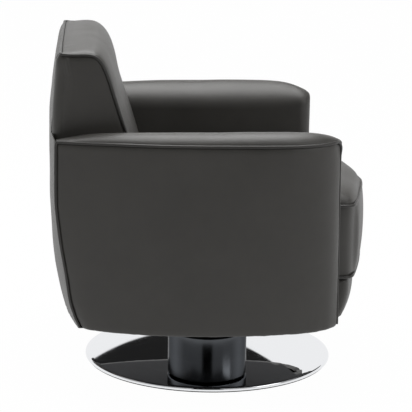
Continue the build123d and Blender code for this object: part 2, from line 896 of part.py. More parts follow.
with BuildPart() as left_back_side_cover:
    with BuildSketch(Plane.YZ.offset(foam_half)):
        with BuildLine():
            add(back_front_line(0, back_top_rear_setback))
            Polyline(
                (back_top_rear_setback, back_seam_height),
                (back_top_rear_setback, arm_seam_height - arm_roll_radius),
                (back_foot_setback + back_foam_depth, back_foot_height),
                face_point(back_foot_height, 0),
            )
        make_face()
    extrude(amount=leather)
    add(back_room.part, mode=Mode.INTERSECT)
    add(back_welt.part, mode=Mode.SUBTRACT)

with BuildPart() as right_back_side_cover:
    mirror(left_back_side_cover.part, about=Plane.YZ)


def rear_bulge(height):
    """How far the outside back stands out in its middle, at a height below the arm seams."""
    share = (arm_seam_height - height) / (arm_seam_height - body_bottom)
    return rear_bulge_top + (rear_bulge_foot - rear_bulge_top) * share * share


lower_level_shares = (0, 0.12, 0.26, 0.4, 0.56, 0.745, 1)
with BuildPart() as outside_back_cover:
    for share in lower_level_shares:
        level = body_bottom + (arm_seam_height - body_bottom) * share
        corner_y = rear_profile_y(level) + rear_gap + leather
        with BuildSketch(Plane.XY.offset(level)):
            add(bowed_strip(rear_half_width, corner_y, corner_y + rear_bulge(level), leather))
    loft(ruled=True)
    for height in (arm_seam_height, outside_top - welt_radius):
        corner_y, middle_y = upper_rear(height)
        with BuildSketch(Plane.XY.offset(height)):
            add(bowed_strip(back_half, corner_y, middle_y, leather))
    loft()


# Frame of the back
post_rear_top = upper_rear(cap_floor)[0] - leather - post_rear_gap
post_rear = arm_rear_reach - post_rear_gap
with BuildPart() as left_back_post:
    with BuildSketch(Plane.YZ.offset(foam_half - board)):
        with BuildLine():
            Polyline(
                (back_foot_setback + back_foam_depth + webbing_setback, frame_top),
                (back_foot_setback + back_foam_depth + webbing_setback, back_foot_height),
                (face_point(cap_floor, 0)[0] + back_foam_depth + webbing_setback, cap_floor),
                (post_rear_top, cap_floor),
                (post_rear, arm_seam_height),
                (post_rear, rear_straight_bottom),
                (rear_profile_y(frame_top) - post_rear_gap, frame_top),
                close=True,
            )
        make_face()
    extrude(amount=board)

with BuildPart() as right_back_post:
    mirror(left_back_post.part, about=Plane.YZ)

lower_rail_setback = face_point(back_foot_height + back_rail_height, 0)[0] + back_foam_depth + board
with BuildPart() as back_rails:
    for bottom, middle in (
        (cap_floor - back_rail_height, post_rear_top - board / 2),
        (back_foot_height, lower_rail_setback),
    ):
        with BuildSketch(Plane.XY.offset(bottom)):
            with Locations((0, middle)):
                Rectangle((foam_half - board) * 2, board)
        extrude(amount=back_rail_height)

with BuildPart() as back_webbing_straps:
    strap_pitch = (cap_floor - back_foot_height) / back_webbing_count
    for index in range(back_webbing_count):
        height = back_foot_height + strap_pitch * (index + 0.5)
        centre = (0, face_point(height, 0)[0] + back_foam_depth, height)
        lean_plane = Plane(origin=centre, x_dir=(1, 0, 0), z_dir=(0, -face_out_y, -face_out_z))
        with BuildSketch(lean_plane):
            Rectangle(foam_half * 2, webbing_width)
        extrude(amount=webbing)


# Seat cushion
def cushion_plan(inset, corner=cushion_corner_radius):
    """Plan of the cushion, drawn in by the inset."""
    half = arm_inner_reach - cushion_side_gap - inset
    side_front = -(cushion_side_front - inset)
    with BuildSketch() as plan:
        with BuildLine():
            Polyline(
                (half, side_front),
                (half, cushion_rear_setback - inset),
                (-half, cushion_rear_setback - inset),
                (-half, side_front),
            )
            ThreePointArc((-half, side_front), (0, -(cushion_front_reach - inset)), (half, side_front))
        make_face()
        fillet(plan.vertices(), corner)
    return plan.sketch


def cushion_form(skin):
    """Boxed cushion with fuller sides and a crowned top, drawn in by the skin."""
    middle = (seat_bottom_seam + seat_top_seam) / 2
    with BuildPart() as form:
        for level, inset in (
            (seat_bottom_seam + skin, cushion_side_draw + skin),
            (middle, skin),
            (seat_top_seam, cushion_side_draw + skin),
        ):
            with BuildSketch(Plane.XY.offset(level)):
                add(cushion_plan(inset))
        loft()
        for rise, inset in ((0, 0), (crown_rim_rise, crown_rim_inset), (crown_top_rise, crown_top_inset)):
            with BuildSketch(Plane.XY.offset(seat_top_seam + rise - (skin if rise > 0 else 0))):
                add(cushion_plan(cushion_side_draw + skin + inset))
        loft(ruled=True)
    return form.part


with BuildPart() as cushion_welts:
    for level in (seat_bottom_seam + welt_radius, seat_top_seam):
        cord_out = welt_radius + running_fit
        cord_plan = cushion_plan(cushion_side_draw - cord_out, cushion_corner_radius + cord_out)
        outline = cord_plan.faces()[0].outer_wire()
        add(welt_along(Plane.XY.offset(level).from_local_coords(outline)))

with BuildPart() as cushion_zip:
    with BuildSketch(Plane.XY.offset((seat_bottom_seam + seat_top_seam - zip_height) / 2)):
        with Locations((0, cushion_rear_setback - zip_depth / 2)):
            Rectangle(zip_length, zip_depth)
    extrude(amount=zip_height)

with BuildPart() as cushion_foam:
    add(cushion_form(leather))

with BuildPart() as cushion_cover:
    add(cushion_form(0))
    add(cushion_form(leather), mode=Mode.SUBTRACT)
    add(cushion_zip.part, mode=Mode.SUBTRACT)
    add(cushion_welts.part, mode=Mode.SUBTRACT)

for part_name, piece in (
    ("floor_ring", floor_ring),
    ("base_disc", base_disc),
    ("base_bolt", base_bolt),
    ("column_tube", column_tube),
    ("column_plug", column_plug),
    ("column_cap", column_cap),
    ("foot_cover", foot_cover),
    ("drum_cover", drum_cover),
    ("spindle_bushes", spindle_bushes),
    ("lower_race", lower_race),
    ("upper_race", upper_race),
    ("bearing_cage", bearing_cage),
    ("bearing_balls", bearing_balls),
    ("spindle", spindle),
    ("spindle_washer", spindle_washer),
    ("circlip", circlip),
    ("swivel_plate", swivel_plate),
    ("plate_bolts", plate_bolts),
    ("tee_nuts", tee_nuts),
    ("side_rails", side_rails),
    ("front_rail", front_rail),
    ("rear_rail", rear_rail),
    ("cross_rails", cross_rails),
    ("corner_blocks", corner_blocks),
    ("seat_webbing", seat_webbing),
    ("apron_foam", apron_foam),
    ("apron_cover", apron_cover),
    ("dust_cover", dust_cover),
    ("deck_cover", deck_cover),
    ("left_arm_bottom_rail", left_arm_bottom_rail),
    ("right_arm_bottom_rail", right_arm_bottom_rail),
    ("left_arm_top_rail", left_arm_top_rail),
    ("right_arm_top_rail", right_arm_top_rail),
    ("left_arm_posts", left_arm_posts),
    ("right_arm_posts", right_arm_posts),
    ("left_arm_inner_board", left_arm_inner_board),
    ("right_arm_inner_board", right_arm_inner_board),
    ("arm_bolts", arm_bolts),
    ("left_arm_foam", left_arm_foam),
    ("right_arm_foam", right_arm_foam),
    ("left_arm_outer_cover", left_arm_outer_cover),
    ("right_arm_outer_cover", right_arm_outer_cover),
    ("left_arm_inner_cover", left_arm_inner_cover),
    ("right_arm_inner_cover", right_arm_inner_cover),
    ("left_arm_welt", left_arm_welt),
    ("right_arm_welt", right_arm_welt),
    ("back_foam", back_foam),
    ("back_cover", back_cover),
    ("left_back_side_cover", left_back_side_cover),
    ("right_back_side_cover", right_back_side_cover),
    ("back_welt", back_welt),
    ("outside_back_cover", outside_back_cover),
    ("left_back_post", left_back_post),
    ("right_back_post", right_back_post),
    ("back_rails", back_rails),
    ("back_webbing", back_webbing_straps),
    ("cushion_foam", cushion_foam),
    ("cushion_cover", cushion_cover),
    ("cushion_welts", cushion_welts),
    ("cushion_zip", cushion_zip),
):
    piece.part.label = part_name
    export_step(piece.part, "parts/" + part_name + ".step")
    print(part_name, len(piece.part.solids()), round(piece.part.volume))
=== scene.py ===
# %% [markdown]
# # A swivel club chair on a chrome base
# The CAD model gives every solid its place in metres: floor at Z 0, swivel axis on Z, the sitter
# facing -Y. It could be rendered as it is, but its upholstery is stiff and its metal plain. So the
# leather, the cords in its seams and the polished base are made again here, each riding on its body.

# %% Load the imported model
import math

import bpy
from mathutils import Matrix, Vector, noise


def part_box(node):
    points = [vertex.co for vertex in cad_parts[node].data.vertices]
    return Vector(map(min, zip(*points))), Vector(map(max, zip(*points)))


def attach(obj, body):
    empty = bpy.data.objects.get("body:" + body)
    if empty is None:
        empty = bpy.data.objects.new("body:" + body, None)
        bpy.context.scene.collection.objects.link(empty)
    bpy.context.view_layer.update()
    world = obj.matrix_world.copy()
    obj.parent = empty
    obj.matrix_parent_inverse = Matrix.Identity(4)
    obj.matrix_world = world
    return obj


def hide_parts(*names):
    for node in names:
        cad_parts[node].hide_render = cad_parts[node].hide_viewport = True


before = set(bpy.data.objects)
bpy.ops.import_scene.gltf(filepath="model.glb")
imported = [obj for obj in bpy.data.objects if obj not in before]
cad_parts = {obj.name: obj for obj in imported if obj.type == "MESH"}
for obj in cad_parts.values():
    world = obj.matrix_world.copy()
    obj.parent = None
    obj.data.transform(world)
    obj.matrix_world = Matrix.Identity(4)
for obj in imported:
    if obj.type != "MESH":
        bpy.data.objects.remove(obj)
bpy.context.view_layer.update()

# %% [markdown]
# ## Small tools for modelling
# A panel of leather is cut flat and then pulled over padding. A grid primitive is that flat piece,
# and a function lays each of its corners in place. Edges that are sewn draw in toward the seam and
# pucker a little, which is what makes leather look pulled rather than poured.

# %% Lines through measured places
def smooth_line(points, samples=24):
    """A smooth line through the points, as a function of the share of its length."""
    knots = [Vector(p) for p in points]
    knots = [knots[0] * 2 - knots[1], *knots, knots[-1] * 2 - knots[-2]]
    line = []
    for a, b, c, d in zip(knots, knots[1:], knots[2:], knots[3:]):
        for k in range(samples):
            t = k / samples
            bend, twist = a * 2 - b * 5 + c * 4 - d, b * 3 - a - c * 3 + d
            line.append(0.5 * (b * 2 + (c - a) * t + bend * t**2 + twist * t**3))
    line.append(knots[-2])
    reach = [0.0]
    for a, b in zip(line, line[1:]):
        reach.append(reach[-1] + (b - a).length)

    def at(share):
        goal = min(max(share, 0.0), 1.0) * reach[-1]
        low, high = 0, len(reach) - 1
        while high - low > 1:
            middle = (low + high) // 2
            low, high = (middle, high) if reach[middle] <= goal else (low, middle)
        return line[low].lerp(line[high], (goal - reach[low]) / max(reach[high] - reach[low], 1e-9))

    at.length = reach[-1]
    return at


def graph(*knots):
    """A smooth height over a distance, through (distance, height) places."""
    xs, ys = [k[0] for k in knots], [k[1] for k in knots]

    def slope(k):
        if k in (0, len(xs) - 1):
            return 0.0
        return (ys[k + 1] - ys[k - 1]) / (xs[k + 1] - xs[k - 1])

    def at(x):
        x = min(max(x, xs[0]), xs[-1])
        k = max(i for i in range(len(xs) - 1) if xs[i] <= x)
        run = xs[k + 1] - xs[k]
        t = (x - xs[k]) / run
        return (
            ys[k] * (2 * t**3 - 3 * t**2 + 1) + slope(k) * run * (t**3 - 2 * t**2 + t)
            + ys[k + 1] * (3 * t**2 - 2 * t**3) + slope(k + 1) * run * (t**3 - t**2)
        )

    return at


def ease(low, high, x):
    """0 below low, 1 above high, smooth between them."""
    t = min(max((x - low) / (high - low), 0.0), 1.0)
    return t * t * (3 - 2 * t)


def last_where(test, high=1.0, rounds=40):
    """The last place from 0 to high where the test still holds, found by halving."""
    low = 0.0
    for _ in range(rounds):
        middle = (low + high) / 2
        low, high = (middle, high) if test(middle) else (low, middle)
    return low


# %% Laying a panel of leather
LEATHER = 0.002
CORD = 0.0034
PUCKER, FINE_PUCKER = 0.021, 0.009
TUCK, SEWN_REACH = 0.0045, 0.16


def round_corner(along, across, radius):
    """Two distances from the edges of a panel, drawn in so that the panel's corner is round."""
    if along >= radius or across >= radius:
        return along, across
    a, b = 1 - along / radius, 1 - across / radius
    return radius * (1 - a * math.sqrt(1 - b * b / 2)), radius * (1 - b * math.sqrt(1 - a * a / 2))


def alone(piece):
    """Only this piece is selected and active."""
    bpy.ops.object.select_all(action="DESELECT")
    piece.select_set(True)
    bpy.context.view_layer.objects.active = piece


def mode(name):
    bpy.ops.object.mode_set(mode=name)


def add_object(name, data):
    """A new object in the scene."""
    made = bpy.data.objects.new(name, data)
    bpy.context.collection.objects.link(made)
    return made


def shares(count, low=True, high=True, edge=(0.0, 0.004, 0.010, 0.018)):
    """Shares from 0 to 1, with extra rows close to the sewn ends."""
    inner = [k / count for k in range(count + 1)]
    start = list(edge) if low else [0.0]
    end = [1 - e for e in edge] if high else [1.0]
    return sorted(set(start) | {s for s in inner if start[-1] + 0.003 < s < min(end) - 0.003} | set(end))


def lay_panel(name, rows_u, rows_v, place, heart):
    """A grid of leather laid by place(u, v), its good side away from the heart of the padding."""
    last_u, last_v = len(rows_u) - 1, len(rows_v) - 1
    bpy.ops.mesh.primitive_grid_add(x_subdivisions=last_u, y_subdivisions=last_v, size=2)
    panel = bpy.context.object
    panel.name = name
    panel["columns"], panel["rows"] = len(rows_u), len(rows_v)
    board = {}
    for vertex in panel.data.vertices:
        i = round((vertex.co.x + 1) / 2 * last_u)
        j = round((vertex.co.y + 1) / 2 * last_v)
        board[i, j] = vertex.index
        vertex.co = place(rows_u[i], rows_v[j])
    panel.data.update()
    lean = sum((face.center - Vector(heart)).dot(face.normal) * face.area for face in panel.data.polygons)
    if lean < 0:
        panel.data.flip_normals()
        panel.data.update()
    return panel, board


def settle(panel, board, sewn, seed=0.0, ripple=0.0008):
    """Draw the sewn edges in and pucker them. sewn maps an edge to (depth, pucker, reach)."""
    columns, rows = panel["columns"], panel["rows"]
    verts = panel.data.vertices
    normals = [Vector(n.vector) for n in panel.data.vertex_normals]
    push, tuck = [0.0] * len(verts), [0.0] * len(verts)
    across = [[(i, j) for i in range(columns)] for j in range(rows)]
    up = [[(i, j) for j in range(rows)] for i in range(columns)]
    lines = {"u0": across, "u1": [line[::-1] for line in across], "v0": up, "v1": [line[::-1] for line in up]}
    for edge, (depth, pucker, reach) in sewn.items():
        along = 0.0
        last = None
        for line in lines[edge]:
            start = verts[board[line[0]]].co
            along += (start - last).length if last is not None else 0.0
            last = start.copy()
            wave = noise.noise((along / PUCKER, seed, 3.1))
            wave += 0.6 * noise.noise((along / FINE_PUCKER, seed, 7.7))
            away, before = 0.0, start
            for place in line:
                here = verts[board[place]].co
                away += (here - before).length
                before = here
                if away > SEWN_REACH:
                    break
                push[board[place]] += pucker * wave * math.exp(-((away / reach) ** 2))
                tuck[board[place]] = max(tuck[board[place]], depth * math.exp(-((away / TUCK) ** 1.5)))
    for vertex, normal in zip(verts, normals):
        life = noise.noise(vertex.co * 9 + Vector((seed, 0, 0)))
        life += 0.5 * noise.noise(vertex.co * 21 + Vector((0, seed, 0)))
        vertex.co += normal * (push[vertex.index] - tuck[vertex.index] + ripple * life)
    panel.data.update()


def thicken(panel, thickness=LEATHER):
    """Give the panel its thickness, inward from its good side."""
    alone(panel)
    wall = panel.modifiers.new("thickness", "SOLIDIFY")
    wall.thickness, wall.offset = thickness, -1
    bpy.ops.object.modifier_apply(modifier=wall.name)
    bpy.ops.object.shade_smooth_by_angle(angle=math.radians(50))
    print(panel.name, len(panel.data.polygons), "faces")


def copy_across(piece, name):
    """The same piece for the other side of the chair, with its own mesh."""
    twin = piece.copy()
    twin.data = piece.data.copy()
    twin.name = name
    bpy.context.collection.objects.link(twin)
    twin.data.transform(Matrix.Scale(-1, 4, (1, 0, 0)))
    twin.data.flip_normals()
    twin.data.update()
    return twin


def lay_cord(name, points, seed, closed=False):
    """A covered cord along a seam. The leather over it is never quite even, so its radius wanders."""
    line = bpy.data.curves.new(name, "CURVE")
    line.dimensions = "3D"
    line.bevel_depth = CORD
    line.bevel_resolution = 3
    line.use_fill_caps = True
    spline = line.splines.new("POLY")
    spline.points.add(len(points) - 1)
    for k, (knot, point) in enumerate(zip(spline.points, points)):
        knot.co = (*point, 1)
        knot.radius = 1 + 0.10 * noise.noise((k * 0.37, seed, 1.3))
    spline.use_cyclic_u = closed
    alone(add_object(name, line))
    bpy.ops.object.convert(target="MESH")
    cord = bpy.context.object
    bpy.ops.object.shade_smooth_by_angle(angle=math.radians(60))
    return cord


def join(name, pieces):
    """Several meshes as one piece."""
    alone(pieces[0])
    for piece in pieces:
        piece.select_set(True)
    bpy.ops.object.join()
    pieces[0].name = name
    return pieces[0]


# %% [markdown]
# ## Materials as sums
# A shader is a sum of small parts, so it is easiest to read as one. The class Signal wraps a socket
# and lets Python's own operators add the Math nodes. Any other node comes from Finish.node.

# %% Signals and finishes
def feed(tree, place, value):
    """Link a signal to a socket, or set a plain value on it."""
    if isinstance(value, Signal):
        tree.links.new(value.socket, place)
    else:
        place.default_value = value


class Signal:
    """A socket that can be added, multiplied and so on."""

    def __init__(self, tree, socket):
        self.tree, self.socket = tree, socket

    def maths(self, operation, *others):
        node = self.tree.nodes.new("ShaderNodeMath")
        node.operation = operation
        for place, value in zip(node.inputs, (self, *others)):
            feed(self.tree, place, value)
        return Signal(self.tree, node.outputs[0])

    def clamped(self):
        return self.maths("MAXIMUM", 0.0).maths("MINIMUM", 1.0)

    def __add__(self, other):
        return self.maths("ADD", other)

    def __sub__(self, other):
        return self.maths("SUBTRACT", other)

    def __rsub__(self, other):
        return self * -1.0 + other

    def __mul__(self, other):
        return self.maths("MULTIPLY", other)

    def __pow__(self, other):
        return self.maths("POWER", other)

    __radd__ = __add__
    __rmul__ = __mul__


class Finish:
    """A material, its shader and the pattern places on its piece."""

    def __init__(self, name, colour=(0.5, 0.5, 0.5), roughness=0.5, metallic=0.0):
        self.material = bpy.data.materials.new(name)
        self.material.use_nodes = True
        self.tree = self.material.node_tree
        self.shader = self.tree.nodes["Principled BSDF"]
        self.set("Base Color", (*colour, 1))
        self.set("Roughness", roughness)
        self.set("Metallic", metallic)
        self.where = self.node("ShaderNodeTexCoord", output="Object")

    def set(self, socket, value):
        feed(self.tree, self.shader.inputs[socket], value)

    def node(self, kind, settings=None, values=None, output=0):
        made = self.tree.nodes.new(kind)
        for key, setting in (settings or {}).items():
            setattr(made, key, setting)
        for key, value in (values or {}).items():
            feed(self.tree, made.inputs[key], value)
        return Signal(self.tree, made.outputs[output])

    def noise(self, scale, detail=3.0, rough=0.5):
        return self.node(
            "ShaderNodeTexNoise", None,
            {"Vector": self.where, "Scale": scale, "Detail": detail, "Roughness": rough},
        )

    def tint(self, share, low, high):
        """A colour between two, by a share from 0 to 1."""
        return self.node("ShaderNodeMix", {"data_type": "RGBA"}, {0: share, 6: (*low, 1), 7: (*high, 1)}, 2)

    def range(self, value, low, high, to_low=0.0, to_high=1.0):
        return self.node(
            "ShaderNodeMapRange", None,
            {"Value": value, "From Min": low, "From Max": high, "To Min": to_low, "To Max": to_high},
        )

    def bump(self, height, strength, distance):
        self.set("Normal", self.node(
            "ShaderNodeBump", None, {"Height": height, "Strength": strength, "Distance": distance},
        ))


# %% [markdown]
# ## Leather
# The chair wears a smooth charcoal leather: nearly black in the shade, grey where it catches the
# light. Its grain is a net of fine pores a millimetre across. Voronoi cells give the pebbles, a
# finer noise breaks them up, and a slow noise varies the dye and the polish over a hand's width.

# %% Leather and its welts
def leather_finish(name, deep, worn, roughness, pebble_strength):
    finish = Finish(name, deep, roughness)
    warp = finish.noise(120, 2)
    pebble = finish.node(
        "ShaderNodeTexVoronoi", {"feature": "DISTANCE_TO_EDGE"},
        {"Vector": finish.where, "Scale": 780.0, "Randomness": 1.0}, "Distance",
    )
    pore = finish.range(pebble, 0.0, 0.12)
    fine = finish.noise(2600, 2)
    slow = finish.noise(7, 4)
    crease = finish.noise(46, 5, 0.62)
    finish.set("Base Color", finish.tint(finish.range(slow * 0.7 + crease * 0.3, 0.36, 0.64), deep, worn))
    polish = finish.range(slow, 0.3, 0.7, roughness - 0.04, roughness + 0.05)
    finish.set("Roughness", polish + (1 - pore) * 0.08)
    finish.bump(pore * 0.6 + fine * 0.25 + warp * 0.5 + crease * 0.9, pebble_strength, 0.00028)
    finish.set("IOR", 1.48)
    return finish


leather = leather_finish("charcoal_leather", (0.025, 0.0235, 0.0205), (0.032, 0.030, 0.0265), 0.42, 0.22)
# The welt leather is darker than the panels. This is painted shade, standing in for the dark line of shade
# along each seam beside the cord.
welt_leather = leather_finish(
    "welt_leather_with_painted_seam_shade", (0.013, 0.012, 0.0105), (0.020, 0.0185, 0.0165), 0.38, 0.16,
)

# %% [markdown]
# ## Polished and plain metals
# The disc is chromed steel, polished until only faint wiping marks are left. A mirror shows its
# surroundings, so the chrome's own colour hardly matters, and the room around it does. The drums'
# satin black still mirrors a little, so it is a dark metal with a dull edge.

# %% Metals, rubber and plastic
def metal_finish(name, colour, roughness, marks, grain=0.0):
    finish = Finish(name, colour, roughness, 1.0)
    smear = finish.noise(11, 5, 0.6)
    finish.set("Roughness", finish.range(smear, 0.35, 0.7, roughness, roughness + marks))
    if grain:
        finish.bump(finish.noise(900, 3), grain, 0.0001)
    return finish


chrome = metal_finish("polished_chrome", (0.80, 0.81, 0.83), 0.008, 0.008)
drum_paint = metal_finish("satin_black_drum", (0.085, 0.090, 0.097), 0.17, 0.04)
drum_paint.set("Specular Tint", (0.45, 0.45, 0.45, 1))
steel = metal_finish("zinc_plated_steel", (0.56, 0.57, 0.58), 0.28, 0.12, 0.15)

black_steel = Finish("powder_coated_steel", (0.012, 0.012, 0.013), 0.5)
black_steel.bump(black_steel.noise(1400, 2), 0.35, 0.0002)
rubber = Finish("black_rubber", (0.015, 0.015, 0.015), 0.75)
rubber.bump(rubber.noise(700, 3), 0.3, 0.0003)
black_plastic = Finish("black_nylon", (0.02, 0.02, 0.021), 0.42)
black_plastic.bump(black_plastic.noise(1100, 2), 0.2, 0.0001)

# %% [markdown]
# ## Timber, foam and cloth
# These are under the leather, and some show from below. Beech has long pale grain, the webbing and
# the dust cloth are woven, so two crossed waves stand for their threads.

# %% Timber, foam and cloths
timber = Finish("beech", (0.45, 0.29, 0.16), 0.62)
grain = timber.node(
    "ShaderNodeTexWave", {"bands_direction": "Z"},
    {"Vector": timber.where, "Scale": 26.0, "Distortion": 6.0, "Detail": 3.0, "Detail Scale": 2.0},
)
timber.set("Base Color", timber.tint(grain, (0.36, 0.22, 0.115), (0.52, 0.35, 0.20)))
timber.bump(grain, 0.2, 0.0004)

foam = Finish("upholstery_foam", (0.62, 0.58, 0.44), 0.9)
foam.bump(foam.noise(420, 4), 0.5, 0.0008)


def woven_finish(name, dark, pale, threads):
    finish = Finish(name, dark, 0.85)
    across, along = (
        finish.node(
            "ShaderNodeTexWave", {"bands_direction": axis},
            {"Vector": finish.where, "Scale": threads, "Distortion": 0.6},
        )
        for axis in "XY"
    )
    weave = across * along
    finish.set("Base Color", finish.tint(weave, dark, pale))
    finish.bump(weave, 0.5, 0.0004)
    return finish


webbing_cloth = woven_finish("jute_webbing", (0.10, 0.075, 0.045), (0.24, 0.18, 0.11), 150.0)
black_cloth = woven_finish("black_dust_cloth", (0.010, 0.010, 0.011), (0.024, 0.024, 0.026), 260.0)

# %% Finishes of the CAD solids that stay
kept_finishes = {
    rubber: ["floor_ring"],
    chrome: ["base_disc"],
    drum_paint: ["foot_cover", "drum_cover"],
    steel: [
        "base_bolt", "column_tube", "column_cap", "lower_race", "upper_race", "bearing_balls", "spindle",
        "spindle_washer", "circlip", "plate_bolts", "tee_nuts", "arm_bolts", "cushion_zip",
    ],
    black_plastic: ["column_plug", "spindle_bushes", "bearing_cage"],
    black_steel: ["swivel_plate"],
    webbing_cloth: ["seat_webbing", "back_webbing"],
    black_cloth: ["deck_cover", "dust_cover"],
}
finish_of = {node: finish for finish, members in kept_finishes.items() for node in members}
for node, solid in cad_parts.items():
    soft = foam if node.endswith("foam") else leather
    other = soft if node.endswith(("foam", "cover", "welt", "welts")) else timber
    solid.data.materials.clear()
    solid.data.materials.append(finish_of.get(node, other).material)


def dress(piece, finish, slot_name, body, *replaced):
    """Give a piece its finish and its body, and hide the CAD solids it stands for. slot_name is not used."""
    piece.data.materials.clear()
    piece.data.materials.append(finish.material)
    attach(piece, body)
    if replaced:
        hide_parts(*replaced)


# %% [markdown]
# ## The arms
# Each arm is a box of foam with a bowed outer side. Its leather is two panels. The outer one wraps
# the bow from the rear seam to the front seam, and the inner one comes up the sitter's side, rolls
# over the top and ends at the same welt. The bow is fuller near the floor than at the top, and its
# rear edge curves forward below, so the panel blends from one bow line to the other as it drops.

# %% Bow lines of an arm
body_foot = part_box("left_arm_outer_cover")[0].z
arm_seam = 0.5735
bow_top = smooth_line([
    (0.343, 0.347, 0), (0.357, 0.292, 0), (0.371, 0.213, 0), (0.385, 0.130, 0), (0.390, 0.047, 0),
    (0.390, -0.040, 0), (0.3885, -0.112, 0), (0.383, -0.163, 0), (0.368, -0.207, 0), (0.343, -0.239, 0),
    (0.314, -0.2595, 0),
])
bow_foot = smooth_line([
    (0.335, 0.296, 0), (0.359, 0.268, 0), (0.386, 0.190, 0), (0.401, 0.090, 0), (0.4035, 0.010, 0),
    (0.399, -0.087, 0), (0.384, -0.172, 0), (0.356, -0.233, 0), (0.322, -0.264, 0),
])
rear_line = graph(
    (0.160, 0.296), (0.191, 0.307), (0.223, 0.317), (0.288, 0.327), (0.345, 0.337), (0.406, 0.345),
    (0.448, 0.3485), (0.571, 0.3485),
)
rear_top, rear_foot = rear_line(0.571), rear_line(0.160)


def bow_at(share, height):
    """A point of the outer side, by its share from the rear seam and its height."""
    fall = (arm_seam - height) / (arm_seam - body_foot)
    rear_fall = (rear_top - rear_line(height)) / (rear_top - rear_foot)
    pull = (1 - share) ** 3
    blend = fall * (1 - pull) + rear_fall * pull
    point = bow_top(share).lerp(bow_foot(share), blend)
    return Vector((point.x, point.y, height))


def bow_normal(share, height):
    ahead = bow_at(min(share + 0.01, 1), height) - bow_at(max(share - 0.01, 0), height)
    return Vector((-ahead.y, ahead.x, 0)).normalized()


print("bow is", round(bow_top.length, 3), "m at the top and", round(bow_foot.length, 3), "m at the foot")

# %% Outer panel of an arm
hem_roll = 0.007
front_round, foot_round, rear_round = 0.020, 0.008, 0.011


def outer_place(share, drop):
    """drop is 0 at the top seam, 1 at the foot, and goes on to 1.06 under the arm."""
    tall = arm_seam - body_foot
    down = drop * tall
    from_front = (1 - share) * bow_top.length
    from_front, down = round_corner(from_front, down, front_round)
    from_front, from_foot = round_corner(from_front, max(tall - down, 0.0), foot_round)
    share = 1 - from_front / bow_top.length
    from_rear, down = round_corner(share * bow_top.length, down, rear_round)
    share = from_rear / bow_top.length
    down += max(tall - down, 0.0) - from_foot
    puff = 0.0045 * math.sin(math.pi * min(drop, 1)) ** 0.7 * math.sin(math.pi * min(max(share, 0), 1)) ** 0.4
    if down <= tall - hem_roll:
        return bow_at(share, arm_seam - down) + bow_normal(share, arm_seam - down) * puff
    turn = (down - tall + hem_roll) / hem_roll
    inward = bow_normal(share, body_foot) * -1
    if turn <= math.pi / 2:
        height, depth = body_foot + hem_roll * (1 - math.sin(turn)), hem_roll * (1 - math.cos(turn))
    else:
        height, depth = body_foot, hem_roll * (1 + turn - math.pi / 2)
    return bow_at(share, height) + inward * depth


wall_rows = [r for r in shares(78, high=False, edge=(0.0, 0.003, 0.007, 0.013)) if r < 0.982]
hem_rows = [0.983 + k * (1.058 - 0.983) / 10 for k in range(11)]
round_rows = shares(120, edge=(0.0, 0.002, 0.005, 0.010))
left_outer, board = lay_panel(
    "left_arm_outer_leather", round_rows, wall_rows + hem_rows, outer_place, (0.30, 0.0, 0.37),
)
settle(left_outer, board, {
    "v0": (0.0040, 0.0005, 0.014), "u0": (0.0034, 0.0007, 0.020),
    "u1": (0.0034, 0.0004, 0.012), "v1": (0.0, 0.0010, 0.045),
}, seed=2.0, ripple=0.0007)
thicken(left_outer)

# %% [markdown]
# The inner panel follows a path along the sitter's side, round the front corner and to the front
# seam. Above each point of the path it climbs, rolls over and crosses to the welt, in one bend whose
# height is highest toward the welt. It is low at both ends of the arm, where the stuffing thins out.

# %% Inner panel and top of an arm
inner_x, inner_rear, front_y, corner, front_strip = 0.270, 0.345, -0.262, 0.027, 0.017
side_run = inner_rear - (front_y + corner)
corner_run = corner * math.pi / 2
path_length = side_run + corner_run + front_strip
shoulder_height = graph(
    (0, 0.573), (0.035, 0.578), (0.10, 0.5850), (0.38, 0.5885), (0.48, 0.5885), (0.54, 0.5860),
    (0.575, 0.5825), (0.600, 0.5785), (0.620, 0.5755), (path_length, 0.5728),
)
roll_radius = graph(
    (0, 0.026), (0.05, 0.038), (0.20, 0.046), (0.49, 0.046), (0.56, 0.040), (0.600, 0.026), (0.622, 0.012),
    (path_length, 0.004),
)
crown_height = graph(
    (0, 0.004), (0.06, 0.018), (0.20, 0.0260), (0.38, 0.0290), (0.50, 0.0310), (0.555, 0.0285),
    (0.59, 0.0205), (0.615, 0.009), (path_length, 0.0),
)


def inner_path(run):
    """A point in plan and the way into the arm there, by the run from the rear."""
    if run <= side_run:
        return Vector((inner_x, inner_rear - run, 0)), Vector((1, 0, 0))
    if run <= side_run + corner_run:
        turn = (run - side_run) / corner
        into = Vector((math.cos(turn), math.sin(turn), 0))
        return Vector((inner_x + corner, front_y + corner, 0)) - into * corner, into
    return Vector((inner_x + corner + run - side_run - corner_run, front_y, 0)), Vector((0, 1, 0))


def bow_share_at(run):
    """Where the top's far end meets the welt."""
    turn_run, turn_y, turn_depth = 0.50, -0.153, 0.1065
    goal = 0.347 - run if run < turn_run else (
        turn_y - (run - turn_run) / (path_length - turn_run) * turn_depth
    )
    return last_where(lambda share: bow_top(share).y > goal)


welt_place = {}


